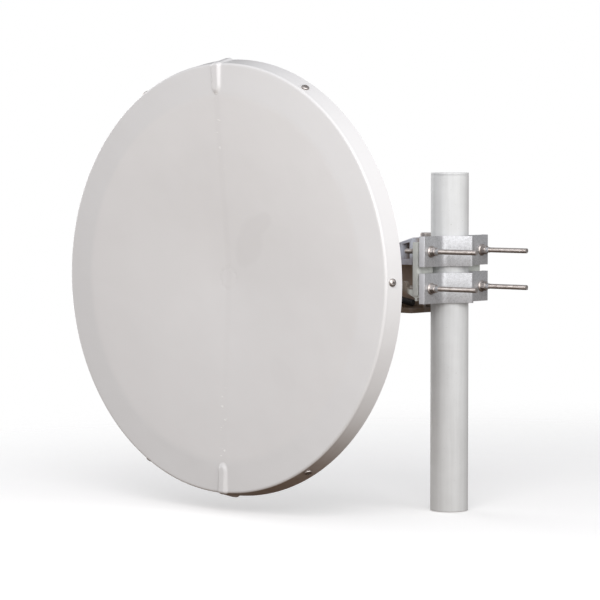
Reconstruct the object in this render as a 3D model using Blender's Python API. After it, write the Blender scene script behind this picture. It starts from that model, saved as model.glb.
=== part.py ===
"""Microwave dish antenna on its pole mount.

Metres, +Z up.  The origin is the centre of the pole's lower end face.  The dish
looks along -Y and hangs beside the pole, towards -X.
"""

import math

import bmesh
import bpy
from mathutils import Vector

MM = 0.001
GAP = 0.3 * MM                      # clearance between pieces that touch
QUARTER_TURN = math.pi / 2.0
FULL_TURN = 2.0 * math.pi
ALONG_X = (0.0, QUARTER_TURN, 0.0)  # turns a shape's own Z axis to +X

# Pole
POLE_RADIUS = 30.15 * MM
POLE_WALL = 3.6 * MM
POLE_HEIGHT = 540.0 * MM
PLUG_THICK = 6.0 * MM
CAP_THICK = 4.0 * MM
CAP_CHAMFER = 1.0 * MM
CAP_SPIGOT = 12.0 * MM

# Dish cover, measured from the centre of its front rim plane
DISH_CENTRE = Vector((-257.5, -260.0, 371.0)) * MM
DISH_ROLL = math.radians(0.6)       # the rim and its screws are turned slightly
TAB_ROLL = math.radians(1.2)        # the cover's tabs a little more
COVER_FRONT_RADIUS = 341.5 * MM
COVER_BACK_RADIUS = 347.5 * MM
COVER_DEPTH = 31.0 * MM
COVER_WALL = 3.0 * MM
COVER_EDGE_ROUND = 4.5 * MM
COVER_EDGE_STEPS = 4
COVER_STATIONS = (0.0, 0.06, 0.16, 0.34, 0.6, 1.0)  # profile points, shares of the crest's radius
CREST_RADIUS = 288.0 * MM           # raised ring between the flat border and the middle
CREST_RISE = 5.0 * MM
MIDDLE_DEPTH = 20.0 * MM            # how far the middle is drawn back behind the rim
MIDDLE_SOFTNESS = 40.0 * MM
TAB_WIDTH = 15.5 * MM
TAB_INNER_RADIUS = 295.0 * MM
TAB_RISE = 3.5 * MM
TAB_ROOT = 6.0 * MM                 # how far the tabs' rise starts inside the crest
TAB_OVERSHOOT = 5.0 * MM
COVER_SCREWS = 6
COVER_SCREW_DEPTH = 12.0 * MM
COVER_SCREW_RADIUS = 2.8 * MM
COVER_SCREW_REACH = 9.0 * MM
COVER_SCREW_HEAD = (6.2 * MM, 4.6 * MM)         # radius, height
COVER_SCREW_DOME = ((1.0, 0.35), (0.88, 0.68), (0.55, 0.93))    # shares of radius and height
SKIRT_SLOPE = math.atan2(COVER_BACK_RADIUS - COVER_FRONT_RADIUS, COVER_DEPTH - COVER_EDGE_ROUND)

# Reflector
BOWL_RADIUS = 330.0 * MM
BOWL_RIM_DEPTH = 10.0 * MM
BOWL_DEPTH = 190.0 * MM
BOWL_FLAT_RADIUS = 60.0 * MM
BOWL_WALL = 2.2 * MM
BOWL_STATIONS = (1.0, 0.92, 0.82, 0.70, 0.56, 0.40, BOWL_FLAT_RADIUS / BOWL_RADIUS)
RIM_FLANGE_END = 29.0 * MM
RIM_CLEARANCE = 1.0 * MM

# Hub and feed
HUB_RADIUS = 95.0 * MM
HUB_THICK = 16.0 * MM
HUB_CHAMFER = 3.0 * MM
PORT_RADIUS = 40.0 * MM
PORT_RISE = 12.0 * MM
PORT_COVER_RADIUS = 36.0 * MM
PORT_COVER_THICK = 6.0 * MM
FEED_RADIUS = 14.0 * MM
FEED_WALL = 2.0 * MM
FEED_HEAD_RADIUS = 32.0 * MM
FEED_HEAD_DEPTH = 44.0 * MM         # its front face, behind the rim plane
FEED_HEAD_THICK = 16.0 * MM
FEED_HEAD_RIM = 4.0 * MM
HUB_BOLTS = 6
HUB_BOLT_CIRCLE = 78.0 * MM
HUB_BOLT_STICK_OUT = 4.0 * MM

# Elevation joint, locked by its bolts
EAR_X = (-166.0 * MM, -158.0 * MM)
EAR_BLOCK_WIDTH = 30.0 * MM
EAR_BLOCK_THICK = 12.0 * MM
CHEEK_X = (EAR_X[1] + GAP, EAR_X[1] + GAP + 8.0 * MM)
CHEEK_SWELL = 6.0 * MM
CHEEK_SWELL_HALF_HEIGHT = 30.0 * MM
TILT_Y = -12.0 * MM
TILT_Z = DISH_CENTRE.z
EAR_HALF_HEIGHT = 50.0 * MM
EAR_NOSE_RADIUS = 48.0 * MM
CHEEK_NOSE_RADIUS = 46.0 * MM
SLOT_RADIUS = 33.0 * MM
SLOT_HALF_ANGLE = math.radians(15.0)

# Azimuth pivot and the swing arm
PIVOT = Vector((-76.0, 36.0, 0.0)) * MM
BARREL_RADIUS = 13.0 * MM
BARREL_Z = (322.0 * MM, 427.6 * MM)
YOKE_TOP = 6.3 * MM
YOKE_FOOT = 8.5 * MM
YOKE_X = (-95.0 * MM, -60.0 * MM)
YOKE_EAR_ROOT_X = -84.0 * MM        # the yoke's ears widen from here to their round ends
YOKE_EAR_RADIUS = 16.0 * MM
RIB_FRONT_Y = -22.0 * MM
WEB_Y = (8.0 * MM, 14.0 * MM)
RIB_THICK = 6.0 * MM
RIB_THIN = 3.6 * MM
MIDDLE_RIB_Z = (391.4 * MM, 400.4 * MM)
MIDDLE_RIB_END_X = -132.0 * MM      # stops short of the lock bolts
END_RIB = 4.5 * MM
INNER_RIB_X = (-86.0 * MM, -80.0 * MM)
SHOULDER_X = -104.0 * MM
HEEL_X = -118.0 * MM
KNEE_INSET = 2.0 * MM
KNEE_FILLET = 4.0 * MM
BOND = 1.0 * MM                     # how deep a fused shape reaches into its neighbour
LUG_X = (-120.0 * MM, -110.0 * MM)
LUG_FRONT_Y = -20.0 * MM
LUG_Z = (324.0 * MM, 348.0 * MM)

# Azimuth adjusting screw with its capped end
SCREW_TIP = Vector((-67.5, -8.0, 329.2)) * MM
SCREW_SLOPE = math.radians(10.0)
SCREW_LENGTH = 66.0 * MM
SCREW_CAP_LENGTH = 26.0 * MM
SCREW_CAP_RADIUS = 6.0 * MM
SCREW_CAP_END_RADIUS = 3.5 * MM
SCREW_CAP_TAPER = 2.5 * MM
SCREW_CAP_SOLID = 6.0 * MM
LOCK_NUT_START = 2.0 * MM           # from the cap's open end
LOCK_NUT_HEIGHT = 6.0 * MM

# Clamp on the pole
CLAMP_Z = 386.0 * MM
V_APEX = (POLE_RADIUS + GAP) * math.sqrt(2.0)   # where the V's faces meet, from the pole's axis
JAW_SPACING = 58.3 * MM
JAW_HEIGHT = 48.0 * MM
JAW_WALL = 4.0 * MM
JAW_FLANGE_X = 10.0 * MM
JAW_HALF_WIDTH = 82.0 * MM
JAW_LIP = 7.0 * MM
JAW_BLUNT = 46.5 * MM
SADDLE_Z = (345.3 * MM, 429.8 * MM)
SADDLE_FLANGE_X = (1.0 * MM, 11.0 * MM)         # distances behind the pole's axis
SADDLE_WALL = 6.0 * MM
SADDLE_HALF_WIDTH = 80.0 * MM
SADDLE_BLUNT = 48.6 * MM
NECK_Y = (26.0 * MM, 46.0 * MM)
NECK_TOP = 418.5 * MM
NECK_FOOT_RISE = 2.0 * MM
NECK_SPLAY = ((-24.0, 26.0), (-9.0, 44.0), (-9.0, 52.0), (-30.0, 46.0))     # in millimetres
STUD_Y = 65.0 * MM
STUD_X = (-36.5 * MM, 105.0 * MM)
STUD_CHAMFER = 0.8 * MM

# Hooked feet at the ends of the saddle's flange, drawn in the X-Z plane
HOOK_Y = (69.0 * MM, 78.0 * MM)
HOOK_EYE = (-32.4 * MM, 361.0 * MM)
HOOK_EYE_RADIUS = 7.0 * MM
HOOK_EYE_ARC = (math.radians(-20.0), math.radians(235.0))
HOOK_TOE_X = 2.5 * MM
HOOK_TOE_TOP = SADDLE_Z[0] + 0.5 * MM
HOOK_SOLE = SADDLE_Z[0] - 3.5 * MM
HOOK_ROOT_Z = SADDLE_Z[0] + 9.5 * MM
HOOK_NECK_X = -22.0 * MM
HOOK_TAB_X = (-8.2 * MM, -4.2 * MM)
HOOK_TAB_FOOT = SADDLE_Z[0] - 8.0 * MM

# Fasteners: shank radius, width across flats, head height
M8 = (4.0 * MM, 13.0 * MM, 6.5 * MM)
M10 = (5.0 * MM, 16.0 * MM, 6.4 * MM)
M12 = (6.0 * MM, 18.0 * MM, 7.5 * MM)
TIP_CHAMFER_SHARE = 0.15            # of the shank's radius
WASHER_SHARE = 0.62                 # a washer's radius, of the width across flats
WASHER_THICK = 1.5 * MM
STICK_OUT = 5.0 * MM                # thread beyond a nut
FLANGE_RADIUS = 9.4 * MM            # of the M8 flange nuts
FLANGE_THICK = 2.2 * MM
NUT_HEIGHT = 8.0 * MM

ROUND_LARGE = 72
HALF_FACET = math.pi / ROUND_LARGE  # turns large rounds so that screws meet flat facets
ROUND_MEDIUM = 36
ROUND_SMALL = 24
ROUND_BOLT = 12
ARC_STEPS = 12
SHORT_ARC_STEPS = 8
SMOOTH_UNDER = math.radians(30.0)

# Colour, roughness, metallic
MATERIALS = {
    "cover_white": ((0.80, 0.79, 0.78), 0.25, 0.0),
    "spun_aluminium": ((0.62, 0.62, 0.63), 0.45, 0.9),
    "cast_aluminium": ((0.50, 0.50, 0.51), 0.55, 0.8),
    "galvanised_steel": ((0.58, 0.59, 0.61), 0.50, 0.8),
    "pole_grey": ((0.68, 0.69, 0.69), 0.40, 0.3),
    "stainless_steel": ((0.60, 0.57, 0.55), 0.28, 1.0),
    "black_plastic": ((0.02, 0.02, 0.02), 0.45, 0.0),
    "feed_plastic": ((0.85, 0.84, 0.80), 0.40, 0.0),
}


def clear_scene():
    """Remove what the scene holds at the start."""
    for thing in list(bpy.data.objects):
        bpy.data.objects.remove(thing, do_unlink=True)


def make_material(name):
    """Return the named Principled material, made on its first use."""
    found = bpy.data.materials.get(name)
    if found:
        return found
    colour, roughness, metallic = MATERIALS[name]
    made = bpy.data.materials.new(name)
    made.use_nodes = True
    shader = made.node_tree.nodes["Principled BSDF"]
    shader.inputs["Base Color"].default_value = (*colour, 1.0)
    shader.inputs["Roughness"].default_value = roughness
    shader.inputs["Metallic"].default_value = metallic
    made.diffuse_color = (*colour, 1.0)
    return made


def make_empty(name, location, rotation=(0.0, 0.0, 0.0), parent=None):
    """Return an empty that carries a group of pieces."""
    empty = bpy.data.objects.new(name, None)
    empty.location = location
    empty.rotation_euler = rotation
    empty.parent = parent
    bpy.context.scene.collection.objects.link(empty)
    return empty


def make_object(name, build, material, parent=None, place=(0.0, 0.0, 0.0), turn=(0.0, 0.0, 0.0)):
    """Return an object whose closed mesh comes from the bmesh `build`."""
    bmesh.ops.recalc_face_normals(build, faces=build.faces)
    mesh = bpy.data.meshes.new(name)
    build.to_mesh(mesh)
    build.free()
    mesh.shade_smooth()
    mesh.set_sharp_from_angle(angle=SMOOTH_UNDER)
    mesh.materials.append(make_material(material))
    made = bpy.data.objects.new(name, mesh)
    made.parent = parent
    made.location = place
    made.rotation_euler = turn
    bpy.context.scene.collection.objects.link(made)
    return made


def turned(sections, sides, closed=False):
    """Return a bmesh turned about Z from sections (radius, height) or (radius, height, "hex").

    A section of radius 0 is a point on the axis.  A hex section's radius is half the
    width across its flats.  With closed=True the last section joins the first one.
    """
    sixth = FULL_TURN / 6.0
    build = bmesh.new()
    rings = []
    for section in sections:
        radius, height = section[0], section[1]
        is_hex = len(section) == 3
        if radius == 0.0:
            rings.append([build.verts.new((0.0, 0.0, height))])
            continue
        ring = []
        for step in range(sides):
            angle = FULL_TURN * step / sides
            reach = radius
            if is_hex:
                reach = radius / math.cos((angle % sixth) - sixth / 2.0)
            ring.append(build.verts.new((reach * math.cos(angle), reach * math.sin(angle), height)))
        rings.append(ring)
    pairs = list(zip(rings, rings[1:]))
    if closed:
        pairs.append((rings[-1], rings[0]))
    for lower, upper in pairs:
        for step in range(sides):
            after = (step + 1) % sides
            if len(lower) == 1:
                build.faces.new((lower[0], upper[after], upper[step]))
            elif len(upper) == 1:
                build.faces.new((lower[step], lower[after], upper[0]))
            else:
                build.faces.new((lower[step], lower[after], upper[after], upper[step]))
    return build


def cylinder(radius, low, high, sides):
    """Return a bmesh cylinder about Z between two heights."""
    return turned([(0.0, low), (radius, low), (radius, high), (0.0, high)], sides)


def prism(outline, low, high, along="Z"):
    """Return a bmesh of a 2-D outline drawn out between two heights along one axis.

    The outline's pairs are (x, y) along Z, (x, z) along Y and (y, z) along X.
    """
    place = {
        "Z": lambda a, b, h: (a, b, h),
        "Y": lambda a, b, h: (a, h, b),
        "X": lambda a, b, h: (h, a, b),
    }[along]
    build = bmesh.new()
    first = [build.verts.new(place(a, b, low)) for a, b in outline]
    last = [build.verts.new(place(a, b, high)) for a, b in outline]
    build.faces.new(first)
    build.faces.new(list(reversed(last)))
    count = len(outline)
    for step in range(count):
        after = (step + 1) % count
        build.faces.new((first[step], last[step], last[after], first[after]))
    return build


def box(x_range, y_range, z_range):
    """Return a bmesh box between the given ranges."""
    outline = [
        (x_range[0], y_range[0]),
        (x_range[1], y_range[0]),
        (x_range[1], y_range[1]),
        (x_range[0], y_range[1]),
    ]
    return prism(outline, z_range[0], z_range[1])


def arc(centre, radius, start, end, steps):
    """Return points on an arc, angles in radians, both ends included."""
    points = []
    for step in range(steps + 1):
        angle = start + (end - start) * step / steps
        points.append((centre[0] + radius * math.cos(angle), centre[1] + radius * math.sin(angle)))
    return points


def combine(target, tool, operation):
    """Add a Boolean modifier to `target` and keep `tool` only as its guide."""
    tool.hide_render = True
    tool.display_type = "WIRE"
    modifier = target.modifiers.new(operation.lower() + "_" + tool.name, "BOOLEAN")
    modifier.operation = operation
    modifier.solver = "EXACT"
    modifier.object = tool
    return target


def fuse(target, tool):
    """Join a tool's solid to the target."""
    return combine(target, tool, "UNION")


def cut(target, tool):
    """Take a tool's solid out of the target."""
    return combine(target, tool, "DIFFERENCE")


def guide(name, build, parent=None, place=(0.0, 0.0, 0.0), turn=(0.0, 0.0, 0.0)):
    """Return an object that only serves as a Boolean's tool."""
    return make_object("guide_" + name, build, "cast_aluminium", parent, place, turn)


def drill(name, radius, reach, parent=None, place=(0.0, 0.0, 0.0), turn=(0.0, 0.0, 0.0)):
    """Return a round cutter along its own Z axis, reaching equally far to both sides."""
    return guide(name, cylinder(radius, -reach, reach, ROUND_BOLT), parent, place, turn)


def bolt(size, shank_low, head_low, nut_high=None, washer=0.0):
    """Return a bolt along Z: shank from `shank_low` up to a head that starts at `head_low`.

    With `nut_high`, a nut ends there, below the head.  `washer` is the washers' thickness.
    """
    radius, flats, head = size
    half_flats = flats / 2.0
    chamfer = TIP_CHAMFER_SHARE * radius
    washer_radius = WASHER_SHARE * flats
    sections = [(0.0, shank_low), (radius - chamfer, shank_low), (radius, shank_low + chamfer)]
    if nut_high is not None:
        nut_top = nut_high - washer
        nut_low = nut_top - head
        sections += [(radius, nut_low), (half_flats, nut_low, "hex"), (half_flats, nut_top, "hex")]
        if washer:
            sections += [(washer_radius, nut_top), (washer_radius, nut_high)]
        sections += [(radius, nut_high)]
    sections += [(radius, head_low)]
    if washer:
        sections += [(washer_radius, head_low), (washer_radius, head_low + washer)]
    top = head_low + washer + head
    sections += [(half_flats, head_low + washer, "hex"), (half_flats, top, "hex"), (0.0, top)]
    return turned(sections, ROUND_BOLT)


# Dish: the cover


def cover_depth(radius):
    """Return how far the cover's front lies behind the rim plane, at a radius inside the crest."""
    def soft(reach):
        return math.hypot(reach, MIDDLE_SOFTNESS) - MIDDLE_SOFTNESS
    return MIDDLE_DEPTH - (MIDDLE_DEPTH + CREST_RISE) * soft(radius) / soft(CREST_RADIUS)


def cover_profile(offset=0.0):
    """Return the cover's outer profile, centre to back edge, moved outwards by `offset`."""
    points = []
    for share in COVER_STATIONS:
        reach = share * CREST_RADIUS
        points.append((reach, -cover_depth(reach) + offset))
    centre = (COVER_FRONT_RADIUS - COVER_EDGE_ROUND, -COVER_EDGE_ROUND)
    points += arc(centre, COVER_EDGE_ROUND + offset, QUARTER_TURN, 0.0, COVER_EDGE_STEPS)
    points.append((COVER_BACK_RADIUS + offset, -COVER_DEPTH))
    return points


def border_profile(offset):
    """Return the profile from just inside the crest to just short of the cover's back edge."""
    points = cover_profile(offset)[len(COVER_STATIONS) - 1:]
    points[0] = (CREST_RADIUS - TAB_ROOT, points[0][1])
    points[-1] = (points[-1][0], -COVER_DEPTH + GAP)
    return points


def make_cover(dish):
    """Make the white front cover with its two raised tabs."""
    sections = cover_profile() + list(reversed(cover_profile(-COVER_WALL)))
    turn_cover = (0.0, 0.0, DISH_ROLL + HALF_FACET)
    cover = make_object("radome", turned(sections, ROUND_LARGE), "cover_white", dish, turn=turn_cover)
    half = TAB_WIDTH / 2.0
    outer_end = COVER_BACK_RADIUS + 2.0 * TAB_RISE
    outline = arc((TAB_INNER_RADIUS + half, 0.0), half, QUARTER_TURN, 3.0 * QUARTER_TURN, SHORT_ARC_STEPS)
    outline += [(outer_end, -half), (outer_end, half)]
    band_sections = border_profile(TAB_RISE) + list(reversed(border_profile(-0.5 * COVER_WALL)))
    for name, side in (("top", QUARTER_TURN), ("bottom", -QUARTER_TURN)):
        shape = prism(outline, -COVER_DEPTH - TAB_OVERSHOOT, COVER_DEPTH)
        tab = guide("tab_" + name, shape, dish, turn=(0.0, 0.0, TAB_ROLL + side))
        shell = turned(band_sections, ROUND_LARGE, closed=True)
        band = guide("tab_band_" + name, shell, dish, turn=turn_cover)
        combine(tab, band, "INTERSECT")
        fuse(cover, tab)
    return cover


def skirt_radius(depth):
    """Return the outer radius of the cover's skirt at a depth behind the rim plane."""
    share = (depth - COVER_EDGE_ROUND) / (COVER_DEPTH - COVER_EDGE_ROUND)
    return COVER_FRONT_RADIUS + share * (COVER_BACK_RADIUS - COVER_FRONT_RADIUS)


def make_cover_screws(dish, cover, reflector):
    """Make the screws that go square through the cover's skirt into the reflector's rim."""
    radius, height = COVER_SCREW_HEAD
    sections = [
        (0.0, -COVER_SCREW_REACH),
        (COVER_SCREW_RADIUS, -COVER_SCREW_REACH),
        (COVER_SCREW_RADIUS, GAP),
        (radius, GAP),
    ]
    sections += [(across * radius, GAP + up * height) for across, up in COVER_SCREW_DOME]
    sections.append((0.0, GAP + height))
    skirt = skirt_radius(COVER_SCREW_DEPTH)
    for index in range(COVER_SCREWS):
        number = index + 1
        angle = DISH_ROLL + FULL_TURN * index / COVER_SCREWS
        place = (skirt * math.cos(angle), skirt * math.sin(angle), -COVER_SCREW_DEPTH)
        turn = (0.0, QUARTER_TURN - SKIRT_SLOPE, angle)
        shape = turned(sections, ROUND_BOLT)
        make_object("radome_screw_%d" % number, shape, "stainless_steel", dish, place, turn)
        bore = COVER_SCREW_RADIUS + GAP
        hole = drill("screw_hole_%d" % number, bore, 2.0 * COVER_SCREW_REACH, dish, place, turn)
        cut(cover, hole)
        cut(reflector, hole)


# Dish: the reflector and what it carries


def bowl_depth(radius):
    """Return the reflecting surface's depth behind the rim plane."""
    reach = max(radius, BOWL_FLAT_RADIUS)
    return BOWL_RIM_DEPTH + BOWL_DEPTH * (1.0 - (reach / BOWL_RADIUS) ** 2)


def make_reflector(dish):
    """Make the spun reflector with its turned-back rim."""
    front = [(share * BOWL_RADIUS, -bowl_depth(share * BOWL_RADIUS)) for share in BOWL_STATIONS]
    back = [(radius, height - BOWL_WALL) for radius, height in front]
    bore = FEED_RADIUS + GAP
    rim_top = skirt_radius(BOWL_RIM_DEPTH) - COVER_WALL - RIM_CLEARANCE
    rim_end = skirt_radius(RIM_FLANGE_END) - COVER_WALL - RIM_CLEARANCE
    sections = [(bore, front[-1][1]), (bore, back[-1][1])]
    sections += list(reversed(back[1:]))
    sections += [
        (BOWL_RADIUS, -BOWL_RIM_DEPTH - 1.5 * BOWL_WALL),
        (rim_top - BOWL_WALL, -BOWL_RIM_DEPTH - BOWL_WALL),
        (rim_end - BOWL_WALL, -RIM_FLANGE_END),
        (rim_end, -RIM_FLANGE_END),
        (rim_top, -BOWL_RIM_DEPTH),
    ]
    sections += front
    shape = turned(sections, ROUND_LARGE, closed=True)
    turn = (0.0, 0.0, DISH_ROLL + HALF_FACET)
    return make_object("reflector", shape, "spun_aluminium", dish, turn=turn)


def hub_front(radius):
    """Return the height of the hub's front face, which follows the reflector's back."""
    return -(bowl_depth(radius) + BOWL_WALL + GAP)


HUB_BACK = hub_front(0.0) - HUB_THICK
PORT_FACE = HUB_BACK - PORT_RISE


def make_hub(dish):
    """Make the cast hub with its side ear for the elevation joint."""
    bore = FEED_RADIUS + GAP
    sections = [
        (bore, hub_front(0.0)),
        (BOWL_FLAT_RADIUS, hub_front(BOWL_FLAT_RADIUS)),
        (HUB_RADIUS, hub_front(HUB_RADIUS)),
        (HUB_RADIUS, HUB_BACK + HUB_CHAMFER),
        (HUB_RADIUS - HUB_CHAMFER, HUB_BACK),
        (PORT_RADIUS, HUB_BACK),
        (PORT_RADIUS, PORT_FACE),
        (bore, PORT_FACE),
    ]
    hub = make_object("antenna_hub", turned(sections, ROUND_MEDIUM, closed=True), "cast_aluminium", dish)
    back_y = DISH_CENTRE.y - HUB_BACK
    front_y = back_y - EAR_BLOCK_THICK
    low, high = TILT_Z - EAR_HALF_HEIGHT, TILT_Z + EAR_HALF_HEIGHT
    block = box((EAR_X[0] - EAR_BLOCK_WIDTH, EAR_X[1]), (front_y, back_y), (low, high))
    outline = [(front_y, low)]
    outline += arc((TILT_Y, TILT_Z), EAR_NOSE_RADIUS, -QUARTER_TURN, QUARTER_TURN, ARC_STEPS)
    outline += [(front_y, high)]
    fuse(hub, guide("hub_block", block))
    fuse(hub, guide("hub_ear", prism(outline, EAR_X[0], EAR_X[1], "X")))
    return hub


def make_feed(dish):
    """Make the feed tube, its head, and the cover over the port behind the hub."""
    head_front = -FEED_HEAD_DEPTH
    head_back = head_front - FEED_HEAD_THICK
    tube_front = head_back - GAP
    bore = FEED_RADIUS - FEED_WALL
    tube = [(FEED_RADIUS, PORT_FACE), (FEED_RADIUS, tube_front), (bore, tube_front), (bore, PORT_FACE)]
    make_object("feed_tube", turned(tube, ROUND_SMALL, closed=True), "spun_aluminium", dish)
    head = [
        (0.0, head_front),
        (FEED_HEAD_RADIUS, head_front),
        (FEED_HEAD_RADIUS, head_front - FEED_HEAD_RIM),
        (FEED_RADIUS, head_back),
        (0.0, head_back),
    ]
    make_object("feed_head", turned(head, ROUND_SMALL), "feed_plastic", dish)
    seat = PORT_FACE - GAP
    plate = cylinder(PORT_COVER_RADIUS, seat - PORT_COVER_THICK, seat, ROUND_MEDIUM)
    make_object("port_cover", plate, "cast_aluminium", dish)


def make_hub_bolts(dish, hub, reflector):
    """Make the ring of bolts that hold the hub to the reflector."""
    turn = (math.pi, 0.0, 0.0)
    shank = bowl_depth(HUB_BOLT_CIRCLE) + HUB_BACK - HUB_BOLT_STICK_OUT
    for index in range(HUB_BOLTS):
        number = index + 1
        angle = QUARTER_TURN + FULL_TURN * (index + 0.5) / HUB_BOLTS
        place = (HUB_BOLT_CIRCLE * math.cos(angle), HUB_BOLT_CIRCLE * math.sin(angle), HUB_BACK - GAP)
        make_object("hub_bolt_%d" % number, bolt(M8, shank, 0.0), "stainless_steel", dish, place, turn)
        hole = drill("hub_hole_%d" % number, M8[0] + GAP, HUB_RADIUS / 2.0, dish, place, turn)
        cut(hub, hole)
        cut(reflector, hole)


# Mount: the swing arm


def arm_outlines():
    """Return the X-Z outlines of the arm's web and of its ribs, by name."""
    low, high = BARREL_Z
    left, right = CHEEK_X[0], YOKE_X[1]
    top, foot = high + YOKE_TOP, low - YOKE_FOOT
    cheek_low, cheek_high = TILT_Z - EAR_HALF_HEIGHT, TILT_Z + EAR_HALF_HEIGHT
    knee = right - KNEE_INSET
    crown = [(right, top), (knee, top), (SHOULDER_X, cheek_high), (left, cheek_high)]
    keel = [(left, cheek_low), (HEEL_X, cheek_low), (YOKE_X[0], foot)]
    rib_low, rib_high = MIDDLE_RIB_Z
    upright_low, upright_high = rib_low + BOND, high + BOND
    return {
        "web": [(right, foot)] + crown + keel,
        "top": crown + [
            (left, cheek_high - RIB_THICK),
            (SHOULDER_X, cheek_high - RIB_THIN),
            (knee - KNEE_FILLET, high),
            (right, high),
        ],
        "middle": rectangle(MIDDLE_RIB_END_X, right, rib_low, rib_high),
        "end": rectangle(right - END_RIB, right, upright_low, upright_high),
        "inner": rectangle(INNER_RIB_X[0], INNER_RIB_X[1], upright_low, cheek_high + RIB_THIN),
        "bottom": keel + [
            (right, foot),
            (right, low),
            (YOKE_X[0], low),
            (HEEL_X, cheek_low + RIB_THICK),
            (left, cheek_low + RIB_THICK),
        ],
    }


def rectangle(left, right, low, high):
    """Return a rectangle's corners in order."""
    return [(left, low), (left, high), (right, high), (right, low)]


def yoke_ear_outline():
    """Return the outline of the yoke's ears, seen from above, round at the pivot's end."""
    root = WEB_Y[0] + BOND
    outline = [(YOKE_EAR_ROOT_X, root), (YOKE_X[1] - BOND, root)]
    outline += arc((PIVOT.x, PIVOT.y), YOKE_EAR_RADIUS, 0.0, math.pi, ARC_STEPS)
    return outline


def make_arm():
    """Make the ribbed arm between the azimuth pivot and the elevation cheek."""
    low, high = BARREL_Z
    outlines = arm_outlines()
    arm = make_object("swing_arm", prism(outlines.pop("web"), WEB_Y[0], WEB_Y[1], "Y"), "cast_aluminium")
    for name, outline in outlines.items():
        fuse(arm, guide("rib_" + name, prism(outline, RIB_FRONT_Y, WEB_Y[0] + BOND, "Y")))
    ear = yoke_ear_outline()
    fuse(arm, guide("yoke_top", prism(ear, high, high + YOKE_TOP)))
    fuse(arm, guide("yoke_foot", prism(ear, low - YOKE_FOOT, low)))
    swell = WEB_Y[1] + CHEEK_SWELL
    cheek = [
        (WEB_Y[1], TILT_Z - EAR_HALF_HEIGHT),
        (swell, TILT_Z - CHEEK_SWELL_HALF_HEIGHT),
        (swell, TILT_Z + CHEEK_SWELL_HALF_HEIGHT),
        (WEB_Y[1], TILT_Z + EAR_HALF_HEIGHT),
    ]
    cheek += arc((TILT_Y, TILT_Z), CHEEK_NOSE_RADIUS, QUARTER_TURN, 3.0 * QUARTER_TURN, ARC_STEPS)
    fuse(arm, guide("cheek", prism(cheek, CHEEK_X[0], CHEEK_X[1], "X")))
    fuse(arm, guide("screw_lug", box(LUG_X, (LUG_FRONT_Y, WEB_Y[0] + BOND), LUG_Z)))
    middle = (PIVOT.x, PIVOT.y, (low + high) / 2.0)
    cut(arm, drill("pivot_hole", M12[0] + GAP, high - low, place=middle))
    return arm


def make_tilt_bolts(arm, hub):
    """Make the elevation pivot bolt and its two lock bolts in their curved slots."""
    span = CHEEK_X[1] - EAR_X[0]
    bolts = (
        ("tilt_pivot_bolt", M12, 0.0),
        ("tilt_lock_bolt_upper", M10, SLOT_RADIUS),
        ("tilt_lock_bolt_lower", M10, -SLOT_RADIUS),
    )
    for name, size, rise in bolts:
        nut_seat = -span - GAP
        tip = nut_seat - WASHER_THICK - size[2] - STICK_OUT
        shape = bolt(size, tip, GAP, nut_high=nut_seat, washer=WASHER_THICK)
        place = (CHEEK_X[1], TILT_Y, TILT_Z + rise)
        make_object(name, shape, "stainless_steel", None, place, ALONG_X)
        radius = size[0] + GAP
        hole = drill(name + "_hole", radius, 2.0 * span, None, place, ALONG_X)
        cut(hub, hole)
        if rise == 0.0:
            cut(arm, hole)
        else:
            cut(arm, guide(name + "_slot", slot_shape(radius, math.copysign(QUARTER_TURN, rise))))


def slot_shape(radius, side):
    """Return the cutter of a curved slot in the cheek, about the angle `side`."""
    start, end = side - SLOT_HALF_ANGLE, side + SLOT_HALF_ANGLE
    outline = arc((TILT_Y, TILT_Z), SLOT_RADIUS + radius, start, end, SHORT_ARC_STEPS)
    outline += arc((TILT_Y, TILT_Z), SLOT_RADIUS - radius, end, start, SHORT_ARC_STEPS)
    return prism(outline, CHEEK_X[0] - BOND, CHEEK_X[1] + BOND, "X")


def make_adjuster(arm):
    """Make the azimuth adjusting screw and the black cap on its end."""
    turn = (0.0, QUARTER_TURN + SCREW_SLOPE, 0.0)
    half_flats = M8[1] / 2.0
    nut_high = -SCREW_CAP_LENGTH - LOCK_NUT_START
    nut_low = nut_high - LOCK_NUT_HEIGHT
    rod = [
        (0.0, -SCREW_LENGTH),
        (M8[0], -SCREW_LENGTH),
        (M8[0], nut_low),
        (half_flats, nut_low, "hex"),
        (half_flats, nut_high, "hex"),
        (M8[0], nut_high),
        (M8[0], -SCREW_CAP_SOLID),
        (0.0, -SCREW_CAP_SOLID),
    ]
    make_object("azimuth_screw", turned(rod, ROUND_BOLT), "stainless_steel", None, SCREW_TIP, turn)
    bore = M8[0] + GAP
    bore_end = -SCREW_CAP_SOLID + GAP
    cap = [
        (0.0, bore_end),
        (bore, bore_end),
        (bore, -SCREW_CAP_LENGTH),
        (SCREW_CAP_RADIUS, -SCREW_CAP_LENGTH),
        (SCREW_CAP_RADIUS, -SCREW_CAP_TAPER),
        (SCREW_CAP_END_RADIUS, 0.0),
        (0.0, 0.0),
    ]
    make_object("azimuth_screw_cap", turned(cap, ROUND_BOLT), "black_plastic", None, SCREW_TIP, turn)
    run = SCREW_TIP.x - (LUG_X[0] + LUG_X[1]) / 2.0
    lug_middle = SCREW_TIP + Vector((-run, 0.0, run * math.tan(SCREW_SLOPE)))
    cut(arm, drill("lug_hole", bore, LUG_X[1] - LUG_X[0], None, lug_middle, turn))


# Mount: the saddle, the jaws and the pole


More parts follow.
